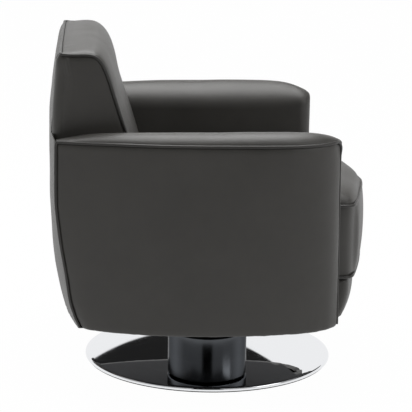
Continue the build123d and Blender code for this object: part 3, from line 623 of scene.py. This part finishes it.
def inner_place(run, step):
    """step runs from -1 to 0 under the arm, 0 to 1 up the side and 1 to 3 over the top to the welt."""
    foot, into = inner_path(run)
    high, roll = shoulder_height(run), roll_radius(run)
    if step < 0:
        return foot + into * (-step * 0.014) + Vector((0, 0, body_foot))
    swell = 0.0025 * math.sin(math.pi * ease(0.35, 1.0, step)) * math.sin(math.pi * min(run / side_run, 1))
    if step <= 1:
        return foot - into * swell + Vector((0, 0, body_foot + (high - roll - body_foot) * step))
    if run not in welt_place:
        welt_place[run] = outer_place(bow_share_at(run) if run < path_length else 1.0, 0)
    wide, t = welt_place[run] - foot, (step - 1) / 2
    bends = ((0, high - roll), (0.05, high + 0.002), (0.80, high + crown_height(run)), (1, welt_place[run].z))
    weights = ((1 - t) ** 3, 3 * t * (1 - t) ** 2, 3 * t * t * (1 - t), t**3)
    over, height = (sum(weight * bend[k] for weight, bend in zip(weights, bends)) for k in (0, 1))
    return Vector((foot.x + wide.x * over, foot.y + wide.y * over, height))


# How far back the outside of the back stands in its middle, by height.
rear_middle = graph(
    (0.160, 0.337), (0.170, 0.339), (0.199, 0.346), (0.228, 0.352), (0.256, 0.357), (0.299, 0.361),
    (0.342, 0.3635), (0.382, 0.366), (0.417, 0.367), (0.594, 0.367), (0.622, 0.365), (0.649, 0.362),
    (0.672, 0.360), (0.704, 0.356), (0.731, 0.351), (0.757, 0.348),
)
arm_back_half, upper_half = 0.3385, 0.2450


def inner_fitted(run, step):
    """The same, with the rear end drawn in to the arm's leaning rear and its top laid against the back."""
    point = inner_place(run, step)
    room = (rear_middle(arm_seam) - rear_line(arm_seam)) * (1 - min(abs(point.x) / arm_back_half, 1.0) ** 2)
    point.y += max(0.0, room - 0.0010) * ease(0.05, 0.0, run) * ease(0.8, 1.3, step)
    point.y -= (rear_top - rear_line(point.z)) * max(0.0, 1 - run / 0.25) ** 1.5
    return point


side_runs = [side_run * s for s in shares(100, high=False, edge=(0.0, 0.003, 0.008, 0.014))]
turn_runs = [side_run + corner_run * k / 9 for k in range(1, 10)]
turn_runs += [path_length - front_strip + front_strip * k / 4 for k in range(1, 5)]
steps = (
    [-1.0, -0.5, -0.12] + [k / 70 for k in range(70)] + [1 + k / 9 for k in range(10)]
    + [2 + s for s in shares(22, low=False, edge=(0.0, 0.02, 0.05, 0.09))[1:]]
)
left_inner, board = lay_panel(
    "left_arm_inner_leather", side_runs + turn_runs, steps, inner_fitted, (0.32, 0.0, 0.40),
)
settle(left_inner, board, {
    "v1": (0.0014, 0.0004, 0.012), "u1": (0.0024, 0.0002, 0.008), "u0": (0.0012, 0.0004, 0.012),
}, seed=5.0, ripple=0.0006)
thicken(left_inner)

# %% Welts of an arm
def seam_cord(share, drop):
    """A place on the outer panel's seam, a hair inside it, and deeper down the front edge."""
    spot = outer_place(share, drop)
    sunk = 0.0008 + 0.0028 * ease(0.97, 1.0, share) * ease(0.02, 0.10, drop)
    return spot - bow_normal(min(max(share, 0), 1), min(max(spot.z, body_foot), arm_seam)) * sunk


foot_drop = 1 - 0.004 / (arm_seam - body_foot)
drops = [k / 500 for k in range(15)] + [0.030 + (foot_drop - 0.030) * k / 70 for k in range(1, 71)]
top_run = [k / 700 for k in range(1, 18)] + [0.025 + 0.955 * k / 140 for k in range(1, 141)]
top_run += [0.98 + k / 700 for k in range(1, 15)]
left_cord = lay_cord("left_arm_cord", (
    [seam_cord(0, drop) for drop in reversed(drops)] + [seam_cord(share, 0) for share in top_run]
    + [seam_cord(1, drop) for drop in drops]
), seed=1)

for side, outer, inner, cord in (
    ("left", left_outer, left_inner, left_cord),
    ("right", copy_across(left_outer, "right_arm_outer_leather"),
     copy_across(left_inner, "right_arm_inner_leather"), copy_across(left_cord, "right_arm_cord")),
):
    dress(outer, leather, "leather", "seat", side + "_arm_outer_cover")
    dress(inner, leather, "leather", "seat", side + "_arm_inner_cover", side + "_arm_foam")
    dress(cord, welt_leather, "welt_leather", "seat", side + "_arm_welt")

# %% [markdown]
# ## The back
# The back is a leaning pad whose sides are flat boxing. One panel comes up its face and over its
# top to the rear seam, a panel covers each side, and one plain panel closes the rear. The face is
# crowned: it stands highest in the middle and draws down to the welts.

# %% Face and top of the back
back_half = 0.270
side_seam = smooth_line([
    (0, 0.146, 0.400), (0, 0.167, 0.478), (0, 0.193, 0.564), (0, 0.210, 0.615), (0, 0.223, 0.656),
    (0, 0.235, 0.694), (0, 0.2475, 0.724), (0, 0.2615, 0.7405), (0, 0.278, 0.7460), (0, 0.309, 0.7460),
    (0, 0.3235, 0.7463), (0, 0.338, 0.7475),
])


def back_normal(share):
    ahead = side_seam(min(share + 0.012, 1)) - side_seam(max(share - 0.012, 0))
    return Vector((0, -ahead.z, ahead.y)).normalized()


def back_place(across, share):
    """across runs from -1 to 1, share from the foot of the face to the rear seam."""
    edge = side_seam(share)
    middle = max(0.0, 1 - abs(across) ** 4) ** 0.65
    crown = 0.012 + 0.0060 * ease(0.55, 0.75, share)
    crown *= math.sqrt(max(0.0, 1 - max(0.0, (share - 0.86) / 0.14) ** 2))
    point = edge + back_normal(share) * crown * middle
    return Vector((across * back_half, point.y, point.z))


fine_edge = (0.0, 0.003, 0.008, 0.014)
across_rows, up_rows = [s * 2 - 1 for s in shares(84, edge=fine_edge)], shares(96, low=False, edge=fine_edge)
back_pad, board = lay_panel("back_face_leather", across_rows, up_rows, back_place, (0, 0.30, 0.55))
settle(back_pad, board, {
    "u0": (0.0036, 0.0006, 0.016), "u1": (0.0036, 0.0006, 0.016), "v1": (0.0034, 0.0009, 0.022),
}, seed=8.0)
thicken(back_pad)
dress(back_pad, leather, "leather", "seat", "back_cover", "back_foam")

# %% Side panels of the back
skirt, side_top, side_x = 0.545, 0.752, 0.2715


def on_seam(height):
    """Share of the side seam at a height on the leaning face."""
    return last_where(lambda share: side_seam(share).z < height, high=0.85)


lean_low, lean_high = on_seam(skirt), on_seam(0.7395)
rear_edge = graph((skirt, 0.3565), (0.62, 0.3555), (0.68, 0.3520), (0.735, 0.3475), (0.7515, 0.3440))


def wrap_radius(up):
    """The rear corner is rounder below than at the top welt."""
    return 0.010 + 0.012 * ease(1.0, 0.75, up) if up < 1 else 0.010


def side_place(along, up):
    """along runs from the welt to the rear and round it, up from below the arm's top to the top welt."""
    wrapped = max(0.0, along - 1)
    along = min(along, 1.0)
    lean = side_seam(lean_low + (lean_high - lean_low) * up)
    top = side_seam(lean_high + (1 - lean_high) * along)
    rear_height = skirt + (side_top - skirt) * up
    radius = wrap_radius(up)
    rear = Vector((0, rear_edge(rear_height) - radius, rear_height))
    low_left, low_right = side_seam(lean_low), Vector((0, rear_edge(skirt) - wrap_radius(0), skirt))
    top_left, top_right = side_seam(lean_high), Vector((0, rear_edge(side_top) - wrap_radius(1), side_top))
    top = Vector((0, min(top.y, top_right.y), top.z))
    bottom = low_left.lerp(low_right, along)
    point = lean.lerp(rear, along) + bottom.lerp(top, up) - bottom.lerp(top_left.lerp(top_right, along), up)
    swell = 0.0035 * math.sin(math.pi * along) ** 0.6 * math.sin(math.pi * min(up, 1)) ** 0.5
    fold = 0.0026 * math.exp(-(((along - 0.84 - 0.10 * (1 - up)) / 0.045) ** 2)) * ease(0.3, 0.9, up)
    out = Vector((side_x + swell + fold, point.y, point.z))
    if wrapped:
        arc = radius * math.pi / 2
        run = wrapped / 0.3 * (arc + side_x - radius - upper_half)
        angle = min(run / radius, math.pi / 2)
        out.x -= radius * (1 - math.cos(angle)) + max(0.0, run - arc)
        out.y += radius * math.sin(angle)
    return out


wrap_rows = shares(40, high=False) + [1 + 0.3 * k / 16 for k in range(17)]
left_side, board = lay_panel(
    "left_back_side_leather", wrap_rows, shares(50, low=False), side_place, (0.20, 0.30, 0.65),
)
settle(left_side, board, {
    "u0": (0.0036, 0.0005, 0.014), "v1": (0.0034, 0.0007, 0.018), "u1": (0.0012, 0.0004, 0.012),
}, seed=11.0, ripple=0.0005)
thicken(left_side)
for side, panel in (("left", left_side), ("right", copy_across(left_side, "right_back_side_leather"))):
    dress(panel, leather, "leather", "seat", side + "_back_side_cover")

# %% Outside back
back_top, top_roll, board_top = 0.7490, 0.0105, 0.7560


def rear_place(x, drop):
    """x in metres across, drop is 0 at the top seam, 1 at the foot and goes on under the rail."""
    height = back_top + (body_foot - back_top) * min(drop, 1)
    lower, narrowed = rear_line(height) + 0.0015, ease(arm_seam, 0.62, height)
    edge = lower + (rear_edge(height) - lower) * narrowed
    half = arm_back_half + (upper_half - arm_back_half) * narrowed
    middle = rear_middle(height)
    y = middle - (middle - edge) * min(abs(x) / half, 1.2) ** 2
    rolled = 1 - min((back_top - height) / top_roll, 1.0)
    y -= (y - 0.3385) * (1 - math.sqrt(1 - rolled**2))
    if drop > 1:
        y, height = y - (drop - 1) * 0.5, body_foot
    if height <= arm_seam + 0.001:
        in_x, in_z = round_corner(arm_back_half - abs(x), max(arm_seam - height, 0.0), 0.010)
        x, height = math.copysign(arm_back_half - in_x, x), min(height, arm_seam - in_z + 0.0005)
    return Vector((x, y, height))


columns = sorted({round(s * x, 5) for s in (-1, 1) for x in (
    *(upper_half * k / 40 for k in range(39)), upper_half - 0.006, upper_half - 0.0025, upper_half,
    upper_half + 0.0025, upper_half + 0.008,
    *(upper_half + (arm_back_half - upper_half) * k / 9 for k in range(2, 9)),
    arm_back_half - 0.005, arm_back_half - 0.002, arm_back_half,
)})
split = (board_top - arm_seam) / (board_top - body_foot)
drops = sorted({round(d, 5) for d in (
    *(0.018 * (k / 8) ** 2 for k in range(9)), *(split * k / 26 for k in range(2, 27)), split + 0.006,
    *(split + (1 - split) * k / 54 for k in range(1, 55)), 1.012, 1.03,
)})
outside_back, board = lay_panel("outside_back_leather", columns, drops, rear_place, (0, 0.10, 0.45))
settle(outside_back, board, {
    "v0": (0.0020, 0.0007, 0.018), "u0": (0.0018, 0.0006, 0.018),
    "u1": (0.0018, 0.0006, 0.018), "v1": (0.0, 0.0012, 0.05),
}, seed=14.0)
alone(outside_back)
mode("EDIT")
bpy.ops.mesh.select_all(action="DESELECT")
mode("OBJECT")
for face in outside_back.data.polygons:
    face.select = face.center.z > arm_seam + 0.001 and abs(face.center.x) > upper_half
mode("EDIT")
bpy.ops.mesh.select_mode(type="FACE")
bpy.ops.mesh.delete(type="FACE")
mode("OBJECT")
thicken(outside_back)
dress(outside_back, leather, "leather", "seat", "outside_back_cover")

# %% Welts of the back
seam_run = [0.04 + 0.935 * k / 130 for k in range(131)]
up_run = [side_seam(share) + back_normal(share) * 0.0003 for share in seam_run]
rise = [Vector((side_x, p.y, p.z)) for p in up_run if p.y < 0.326]
cord_turn = 0.009
turned = [
    Vector((0.2625 + cord_turn * math.cos(t), 0.3290 + cord_turn * math.sin(t), 0.7472 + 0.0008 * t))
    for t in [math.pi / 2 * k / 8 for k in range(9)]
]
across_rear = [
    Vector((
        0.2525 - 0.505 * k / 70, 0.3380 + 0.0004 * noise.noise((k * 0.3, 1, 2)),
        0.7486 + 0.0008 * noise.noise((k * 0.17, 2.2, 0)),
    ))
    for k in range(71)
]
other_side = [Vector((-p.x, p.y, p.z)) for p in reversed(rise + turned)]
back_cord = lay_cord("back_cord", rise + turned + across_rear + other_side, seed=4)
dress(back_cord, welt_leather, "welt_leather", "seat", "back_welt")

# %% [markdown]
# ## The seat cushion
# A boxed cushion: a top and a bottom panel and a band between, sewn with a cord at both seams. The
# panels could be crowned by a formula, but air pressure in Blender's Cloth does what the foam does.
# The two seams are pinned, everything between them swells, and a cap keeps it inside the arms. The
# top is then at least as plump as the photograph shows it, and the front band bulges a little.

# %% Cushion before it is filled
cushion_foot, cushion_seam = 0.2585, 0.420
cushion_half, cushion_rear, cushion_heart = 0.2695, 0.140, -0.10
front_reach = graph(
    (0.0, 0.3480), (0.065, 0.3405), (0.148, 0.3255), (0.220, 0.3095), (0.257, 0.2990), (0.272, 0.2910),
)
bpy.ops.object.select_all(action="DESELECT")
bpy.ops.mesh.primitive_cube_add(size=2, location=(0, 0, 0))
cushion = bpy.context.object
cushion.name = "seat_cushion"
mode("EDIT")
bpy.ops.mesh.select_all(action="SELECT")
bpy.ops.mesh.subdivide(number_cuts=47)
mode("OBJECT")


def cushion_place(point):
    """Move a point of the two-metre cube to its place on the cushion."""
    a, b, c = point
    pinch = 0.0070 * max(0.0, (abs(a) ** 14) * (abs(b) ** 14))
    x = a * (cushion_half - pinch)
    y = cushion_rear + (-front_reach(abs(x)) - cushion_rear) * (1 - b) / 2
    y += pinch * (1 if b < 0 else -1)
    z = (cushion_foot + cushion_seam) / 2 + c * (cushion_seam - cushion_foot) / 2
    return Vector((x, y, z))


seam_points = []
for vertex in cushion.data.vertices:
    rim = max(abs(vertex.co.x), abs(vertex.co.y))
    if abs(vertex.co.z) > 0.999 and rim > 0.999:
        seam_points.append(vertex.index)
    vertex.co = cushion_place(vertex.co)
cushion.data.update()
pins = cushion.vertex_groups.new(name="seams")
pins.add(seam_points, 1.0, "REPLACE")
before = [v.co.copy() for v in cushion.data.vertices]
print("cushion has", len(before), "points,", len(seam_points), "of them sewn")

# %% Fill the cushion
alone(cushion)
cloth = cushion.modifiers.new("filling", "CLOTH")
for key, value in {
    "quality": 6, "mass": 0.4, "tension_stiffness": 12, "compression_stiffness": 12, "shear_stiffness": 6,
    "bending_stiffness": 1.2, "use_pressure": True, "uniform_pressure_force": 4.5,
    "vertex_group_mass": "seams",
}.items():
    setattr(cloth.settings, key, value)
cloth.settings.effector_weights.gravity = 0
for step in range(1, 21):
    bpy.context.scene.frame_set(step)
bpy.ops.object.modifier_apply(modifier=cloth.name)
bpy.context.scene.frame_set(1)

most = 0.0
cloth_gain, cap, plump_height, bulge, spread_limit = 1.9, 0.040, 0.042, 0.0085, 0.011
for vertex, start in zip(cushion.data.vertices, before):
    move = vertex.co - start
    share_x = min(abs(start.x) / cushion_half, 1)
    on_top = start.z > cushion_seam - 0.0005
    most = max(most, move.length)
    up = min(max(move.z * cloth_gain, -0.0005), cap)
    if on_top:
        reach = front_reach(abs(start.x)) + cushion_heart if start.y < cushion_heart else 0.24
        plump = max(0.0, 1 - share_x**6) * max(0.0, 1 - abs((start.y - cushion_heart) / reach) ** 4)
        up = max(up, plump_height * plump**0.4)
    beside_arm = abs(start.y) < 0.25
    sideways = min(max(move.x, -0.0005 if start.x > 0 else -0.0004), 0.0005) if beside_arm else move.x
    flat = Vector((sideways, move.y, 0))
    if flat.length > spread_limit:
        flat *= spread_limit / flat.length
    if start.y < 0.001 - front_reach(abs(start.x)):
        belly = 1 - ((2 * start.z - cushion_seam - cushion_foot) / (cushion_seam - cushion_foot)) ** 2
        flat.y = min(flat.y, -bulge * max(belly, 0.0) ** 0.6)
    vertex.co = start + Vector((flat.x, min(flat.y, 0.002), up))
cushion.data.update()
print("the cushion swelled by", round(most * 1000, 1), "mm before the cap")

# %% Finish the cushion
alone(cushion)
smooth = cushion.modifiers.new("smooth", "SUBSURF")
smooth.levels = smooth.render_levels = 1
bpy.ops.object.modifier_apply(modifier=smooth.name)
normals = [Vector(n.vector) for n in cushion.data.vertex_normals]
for vertex, normal in zip(cushion.data.vertices, normals):
    to_seam = min(abs(vertex.co.z - cushion_seam), abs(vertex.co.z - cushion_foot))
    on_side = ease(0.2, 0.7, 1 - abs(normal.z))
    run = vertex.co.x + vertex.co.y
    wave = noise.noise((run / 0.022, 4.0, vertex.co.z * 6)) * math.exp(-((to_seam / 0.020) ** 2))
    life = noise.noise(vertex.co * 10) + 0.5 * noise.noise(vertex.co * 23)
    vertex.co += normal * (0.0009 * wave * on_side + 0.0008 * life)
cushion.data.update()
bpy.ops.object.shade_smooth_by_angle(angle=math.radians(60))
dress(cushion, leather, "leather", "seat", "cushion_cover", "cushion_foam")

# %% Cords of the cushion
def rim_points(level, out):
    """The cushion's outline at a seam, moved out by a little, with round corners."""
    half, rear, bend = cushion_half + out, cushion_rear + out, 0.016
    line = [(half, rear - bend, level), (half - 0.005, rear - 0.005, level), (half - bend, rear, level)]
    line += [(half - bend - (2 * half - 2 * bend) * k / 10, rear, level) for k in range(1, 11)]
    line += [(-half + 0.005, rear - 0.005, level), (-half, rear - bend, level)]
    side_front = -front_reach(cushion_half) - out
    back, front = rear - bend, side_front + bend
    line += [(-half, back + (front - back) * k / 10, level) for k in range(1, 11)]
    line += [(-half + 0.0035, side_front + 0.003, level)]
    for k in range(1, 20):
        x = -half + 0.014 + (2 * half - 0.028) * (k - 1) / 18
        line.append((x, -front_reach(abs(x)) - out, level))
    line += [(half - 0.0035, side_front + 0.003, level)]
    line += [(half, front + (back - front) * k / 10, level) for k in range(10)]
    around = smooth_line(line + [line[0]], samples=10)
    return [around(k / 420) for k in range(420)]


cushion_cord = join("cushion_cord", [
    lay_cord("upper_cord", rim_points(cushion_seam, 0.0006), seed=12, closed=True),
    lay_cord("lower_cord", rim_points(cushion_foot + 0.001, 0.0006), seed=13, closed=True),
])
dress(cushion_cord, welt_leather, "welt_leather", "seat", "cushion_welts")

# %% [markdown]
# ## The apron
# Under the cushion a padded apron closes the front between the arms. It bows forward with the
# cushion and leans back a little toward its foot, where it is turned under and stapled.

# %% Apron
apron_side = [
    (0.2698, -0.215, 0), (0.2698, -0.274, 0), (0.2660, -0.2865, 0), (0.252, -0.2945, 0),
    (0.20, -0.3080, 0), (0.14, -0.3175, 0), (0.07, -0.3240, 0),
]
apron_line = smooth_line(apron_side + [(0, -0.3260, 0)] + [(-x, y, z) for x, y, z in reversed(apron_side)])
apron_top, apron_roll = 0.2555, 0.009


def apron_place(share, drop):
    """drop goes from -0.4 on the deck to 0 at the roll, 1 at the foot, and a little under."""
    point = apron_line(share)
    ahead = apron_line(min(share + 0.004, 1)) - apron_line(max(share - 0.004, 0))
    into = Vector((-ahead.y, ahead.x, 0)).normalized()
    if into.dot(Vector((0, 0.05, 0)) - point) < 0:
        into = into * -1
    if drop < 0:
        turn = min(-drop / 0.1, 1) * math.pi / 2
        extra = max(0.0, -drop - 0.1) * 0.10
        depth = apron_roll * (1 - math.cos(turn)) + extra
        return point + into * depth + Vector((0, 0, apron_top - apron_roll + apron_roll * math.sin(turn)))
    height = apron_top - apron_roll + (body_foot - apron_top + apron_roll) * min(drop, 1)
    lean = 0.017 * min(drop, 1) ** 1.6 * ease(0.262, 0.290, -point.y)
    swell = 0.003 * math.sin(math.pi * min(drop, 1))
    under = max(0.0, drop - 1) * 0.25
    turned = 0.006 * ease(0.93, 1.0, drop) * ease(0.266, 0.290, -point.y)
    return point + Vector((0, lean, 0)) + into * (under + turned - swell) + Vector((0, 0, height))


apron_drops = sorted({round(d, 5) for d in (
    -0.40, -0.25, -0.14, *(-0.1 + k / 60 for k in range(6)), *(k / 26 for k in range(27)), 1.02, 1.05,
)})
apron_rows = [k / 150 for k in range(151)]
apron, board = lay_panel("apron_leather", apron_rows, apron_drops, apron_place, (0, 0.10, 0.21))
settle(apron, board, {"v1": (0.0, 0.0012, 0.035)}, seed=17.0, ripple=0.0007)
thicken(apron)
dress(apron, leather, "leather", "seat", "apron_cover", "apron_foam")

# %% [markdown]
# ## Dust cloth
# From below the frame is closed by a thin black cloth, stapled round its edge and a little slack
# between the rails. It stops just inside the turned hems of the leather.

# %% Dust cloth
cloth_front, cloth_rear, front_half = -0.296, 0.288, 0.262


def cloth_place(u, v):
    y = cloth_front + (cloth_rear - cloth_front) * v
    half = front_half
    if y > -0.250:
        beside = bow_foot(last_where(lambda share: bow_foot(share).y > y, rounds=24))
        half += (beside.x - 0.016 - front_half) * ease(-0.250, -0.215, y)
    x = u * half
    if y < -0.250:
        y = max(y, -0.262 - 0.034 * (1 - (x / 0.268) ** 2))
    if y > 0.270:
        y = min(y, 0.282 + 0.03 * (1 - (x / 0.33) ** 2))
    sag = 0.0022 * (1 - abs(u) ** 4) * math.sin(math.pi * v) ** 0.5
    sag *= 0.7 + 0.3 * noise.noise((x * 14, y * 14, 1))
    return Vector((x, y, body_foot - 0.0002 - sag))


across_rows, along_rows = [k / 40 - 1 for k in range(81)], [k / 80 for k in range(81)]
dust, _ = lay_panel("underside_cloth", across_rows, along_rows, cloth_place, (0, 0, 0.40))
thicken(dust, 0.0008)
dress(dust, black_cloth, "dust_cloth", "seat", "dust_cover")

# %% [markdown]
# ## The base
# A drum stands on a flat disc with a rolled edge, and a second one turns with the seat just above it.
# All three are round, so Blender's spin makes them: a profile is drawn once and swept round the axis.

# %% Spin a profile
def spin(name, profile, closed=True):
    """A turned piece from (radius, height) places, in metres."""
    mesh = bpy.data.meshes.new(name)
    edges = [(k, k + 1) for k in range(len(profile) - 1)]
    if closed:
        edges.append((len(profile) - 1, 0))
    mesh.from_pydata([(r, 0, z) for r, z in profile], edges, [])
    piece = add_object(name, mesh)
    alone(piece)
    mode("EDIT")
    bpy.ops.mesh.select_all(action="SELECT")
    bpy.ops.mesh.spin(steps=192, angle=math.tau, center=(0, 0, 0), axis=(0, 0, 1), use_auto_merge=False)
    bpy.ops.mesh.select_all(action="SELECT")
    bpy.ops.mesh.remove_doubles(threshold=0.00002)
    bpy.ops.mesh.normals_make_consistent(inside=False)
    mode("OBJECT")
    bpy.ops.object.shade_smooth_by_angle(angle=math.radians(35))
    print(name, len(piece.data.polygons), "faces")
    return piece


# %% Disc
disc_low, disc_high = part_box("base_disc")
disc_r, edge_r, under_r = disc_high.x, 0.0042, 0.0015
rolled = [
    (disc_r - edge_r + edge_r * math.cos(turn), disc_high.z - edge_r + edge_r * math.sin(turn))
    for turn in [math.pi / 2 * k / 10 for k in range(11)]
]
disc_profile = (
    [(0.0, disc_low.z), (disc_r - under_r, disc_low.z), (disc_r, disc_low.z + under_r)] + rolled
    + [(disc_r - 0.012, disc_high.z), (0.15, disc_high.z), (0.0, disc_high.z)]
)
disc = spin("chrome_disc", disc_profile, closed=False)
dress(disc, chrome, "chrome", "base", "base_disc")

# %% The two drums
def shell(low, high, edge, top):
    """Half the section of a drum that is closed at its top or its bottom, with a rolled edge there."""
    radius, wall, mouth = high.x, 0.0014, 0.0332
    turns = [math.pi / 2 * k / 8 for k in range(9)]
    rolled = [(radius - edge * (1 - math.cos(t)), high.z - edge * (1 - math.sin(t))) for t in turns]
    outside = [(radius, low.z)] + rolled + [(mouth, high.z)]
    inside = [
        (mouth, high.z - wall), (radius - edge, high.z - wall), (radius - wall, high.z - edge),
        (radius - wall, low.z),
    ]
    section = outside + inside
    return section if top else [(r, low.z + high.z - z) for r, z in section]


for name, node, edge, top, body in (
    ("foot_drum", "foot_cover", 0.005, True, "base"), ("seat_drum", "drum_cover", 0.003, False, "seat"),
):
    drum = spin(name, shell(*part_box(node), edge, top))
    dress(drum, drum_paint, "black_steel", body, node)

# %% [markdown]
# ## Room, lamps and camera
# The floor is white to the camera and to mirrors, and the room to the camera. The chair itself is lit
# by one broad lamp above, a small one in front and soft light all round. The room that a mirror sees is
# black from a hand above the horizon up to a ceiling light, behind the chair, which draws the black
# crescent on the disc. On the camera's side it is a dim studio, with a dark stand in the middle.

# %% Floor
def rays(tree, *kinds):
    """Signals that are 1 for rays of these kinds."""
    path = tree.nodes.new("ShaderNodeLightPath")
    return [Signal(tree, path.outputs[f"Is {kind} Ray"]) for kind in kinds]


bpy.ops.object.select_all(action="DESELECT")
bpy.ops.mesh.primitive_circle_add(vertices=96, radius=14, fill_type="NGON", location=(0, 0, 0))
floor = bpy.context.object
floor.name = "studio_floor"
floor_finish = Finish("studio_floor_paint", (0.55, 0.55, 0.55), 0.9)
tree = floor_finish.tree
is_camera, is_mirror, is_glass = rays(tree, "Camera", "Glossy", "Transmission")
seen = (is_camera + is_mirror + is_glass).maths("MINIMUM", 1.0) * 0.985
paint = Signal(tree, floor_finish.shader.outputs[0])
glow = floor_finish.node("ShaderNodeEmission", None, {"Strength": 1.0})
shown = floor_finish.node("ShaderNodeMixShader", None, {0: seen, 1: paint, 2: glow})
feed(tree, tree.nodes["Material Output"].inputs["Surface"], shown)
floor.data.materials.append(floor_finish.material)

# %% Room
world = bpy.data.worlds.new("studio_room")
bpy.context.scene.world = world
world.use_nodes = True
tree = world.node_tree
background = tree.nodes["Background"]
coords = tree.nodes.new("ShaderNodeTexCoord")
split_axes = tree.nodes.new("ShaderNodeSeparateXYZ")
tree.links.new(coords.outputs["Generated"], split_axes.inputs[0])
ahead_x, ahead_y, ahead_z = (Signal(tree, split_axes.outputs[k]) for k in range(3))
view_turn, screen_foot, screen_curve, ceiling = 2.84, 17.03, 0.101, 42.0
studio_from, stand_half, studio_light, ceiling_light, sky_floor = 75.0, 15.0, 0.42, 0.9, 0.28
height = ahead_z.maths("ARCSINE") * (180 / math.pi)
turn = ahead_y.maths("ARCTAN2", ahead_x) * (180 / math.pi)
aside = (turn + view_turn).maths("ABSOLUTE")
edge = aside.maths("MINIMUM", 9.0) ** 2.0 * screen_curve + screen_foot
dark = ((height - edge) * 24.0).clamped()
overhead = ((height - ceiling) * 0.12).clamped()
studio = ((aside - studio_from) * 0.03).clamped()
beside_stand = 1.0 - (180.0 - aside).maths("LESS_THAN", stand_half)
studio_level = studio_light * beside_stand + overhead * beside_stand * ceiling_light
mirror_level = (1.0 - dark * (1.0 - overhead) * 0.985) * (1.0 - studio) + studio * studio_level
is_camera, is_mirror = rays(tree, "Camera", "Glossy")
ambient = ahead_z.maths("MAXIMUM", 0.0) + sky_floor
level = is_camera + (1.0 - is_camera) * (is_mirror * mirror_level + (1.0 - is_mirror) * ambient)
feed(tree, background.inputs["Strength"], level)
background.inputs["Color"].default_value = (1, 1, 1, 1)


# %% Lamps
def lamp(name, place, aim, size, power):
    light = bpy.data.lights.new(name, "AREA")
    light.shape = "SQUARE"
    light.size = size
    light.energy = power
    stand = add_object(name, light)
    stand.location = place
    stand.rotation_euler = (Vector(aim) - Vector(place)).to_track_quat("-Z", "Y").to_euler()


lamp("softbox_above", (0.9, 0.2, 2.8), (0, 0, 0.4), 2.4, 84)
lamp("softbox_front", (-1.9, -2.9, 2.1), (0, 0, 0.4), 1.6, 19)

# %% Camera
camera_data = bpy.data.cameras.new("photograph")
camera = add_object("photograph", camera_data)
ahead = Vector((0.9721, -0.0600, -0.2268)).normalized()
level_right = Vector((-0.0616, -0.9981, 0)).normalized()
level_up = level_right.cross(ahead).normalized()
roll = 0.0164
right = level_right * math.cos(roll) + level_up * math.sin(roll)
up = level_up * math.cos(roll) - level_right * math.sin(roll)
camera_place = Matrix.Translation((-4.1166, 0.2622, 1.3175))
camera.matrix_world = camera_place @ Matrix((right, up, -ahead)).transposed().to_4x4()
photo_pixels, focal_pixels, sensor = 412, 1830.7, 36
camera_data.sensor_width = sensor
camera_data.lens = sensor * focal_pixels / photo_pixels
bpy.context.scene.camera = camera
bpy.context.scene.view_settings.view_transform = "Standard"
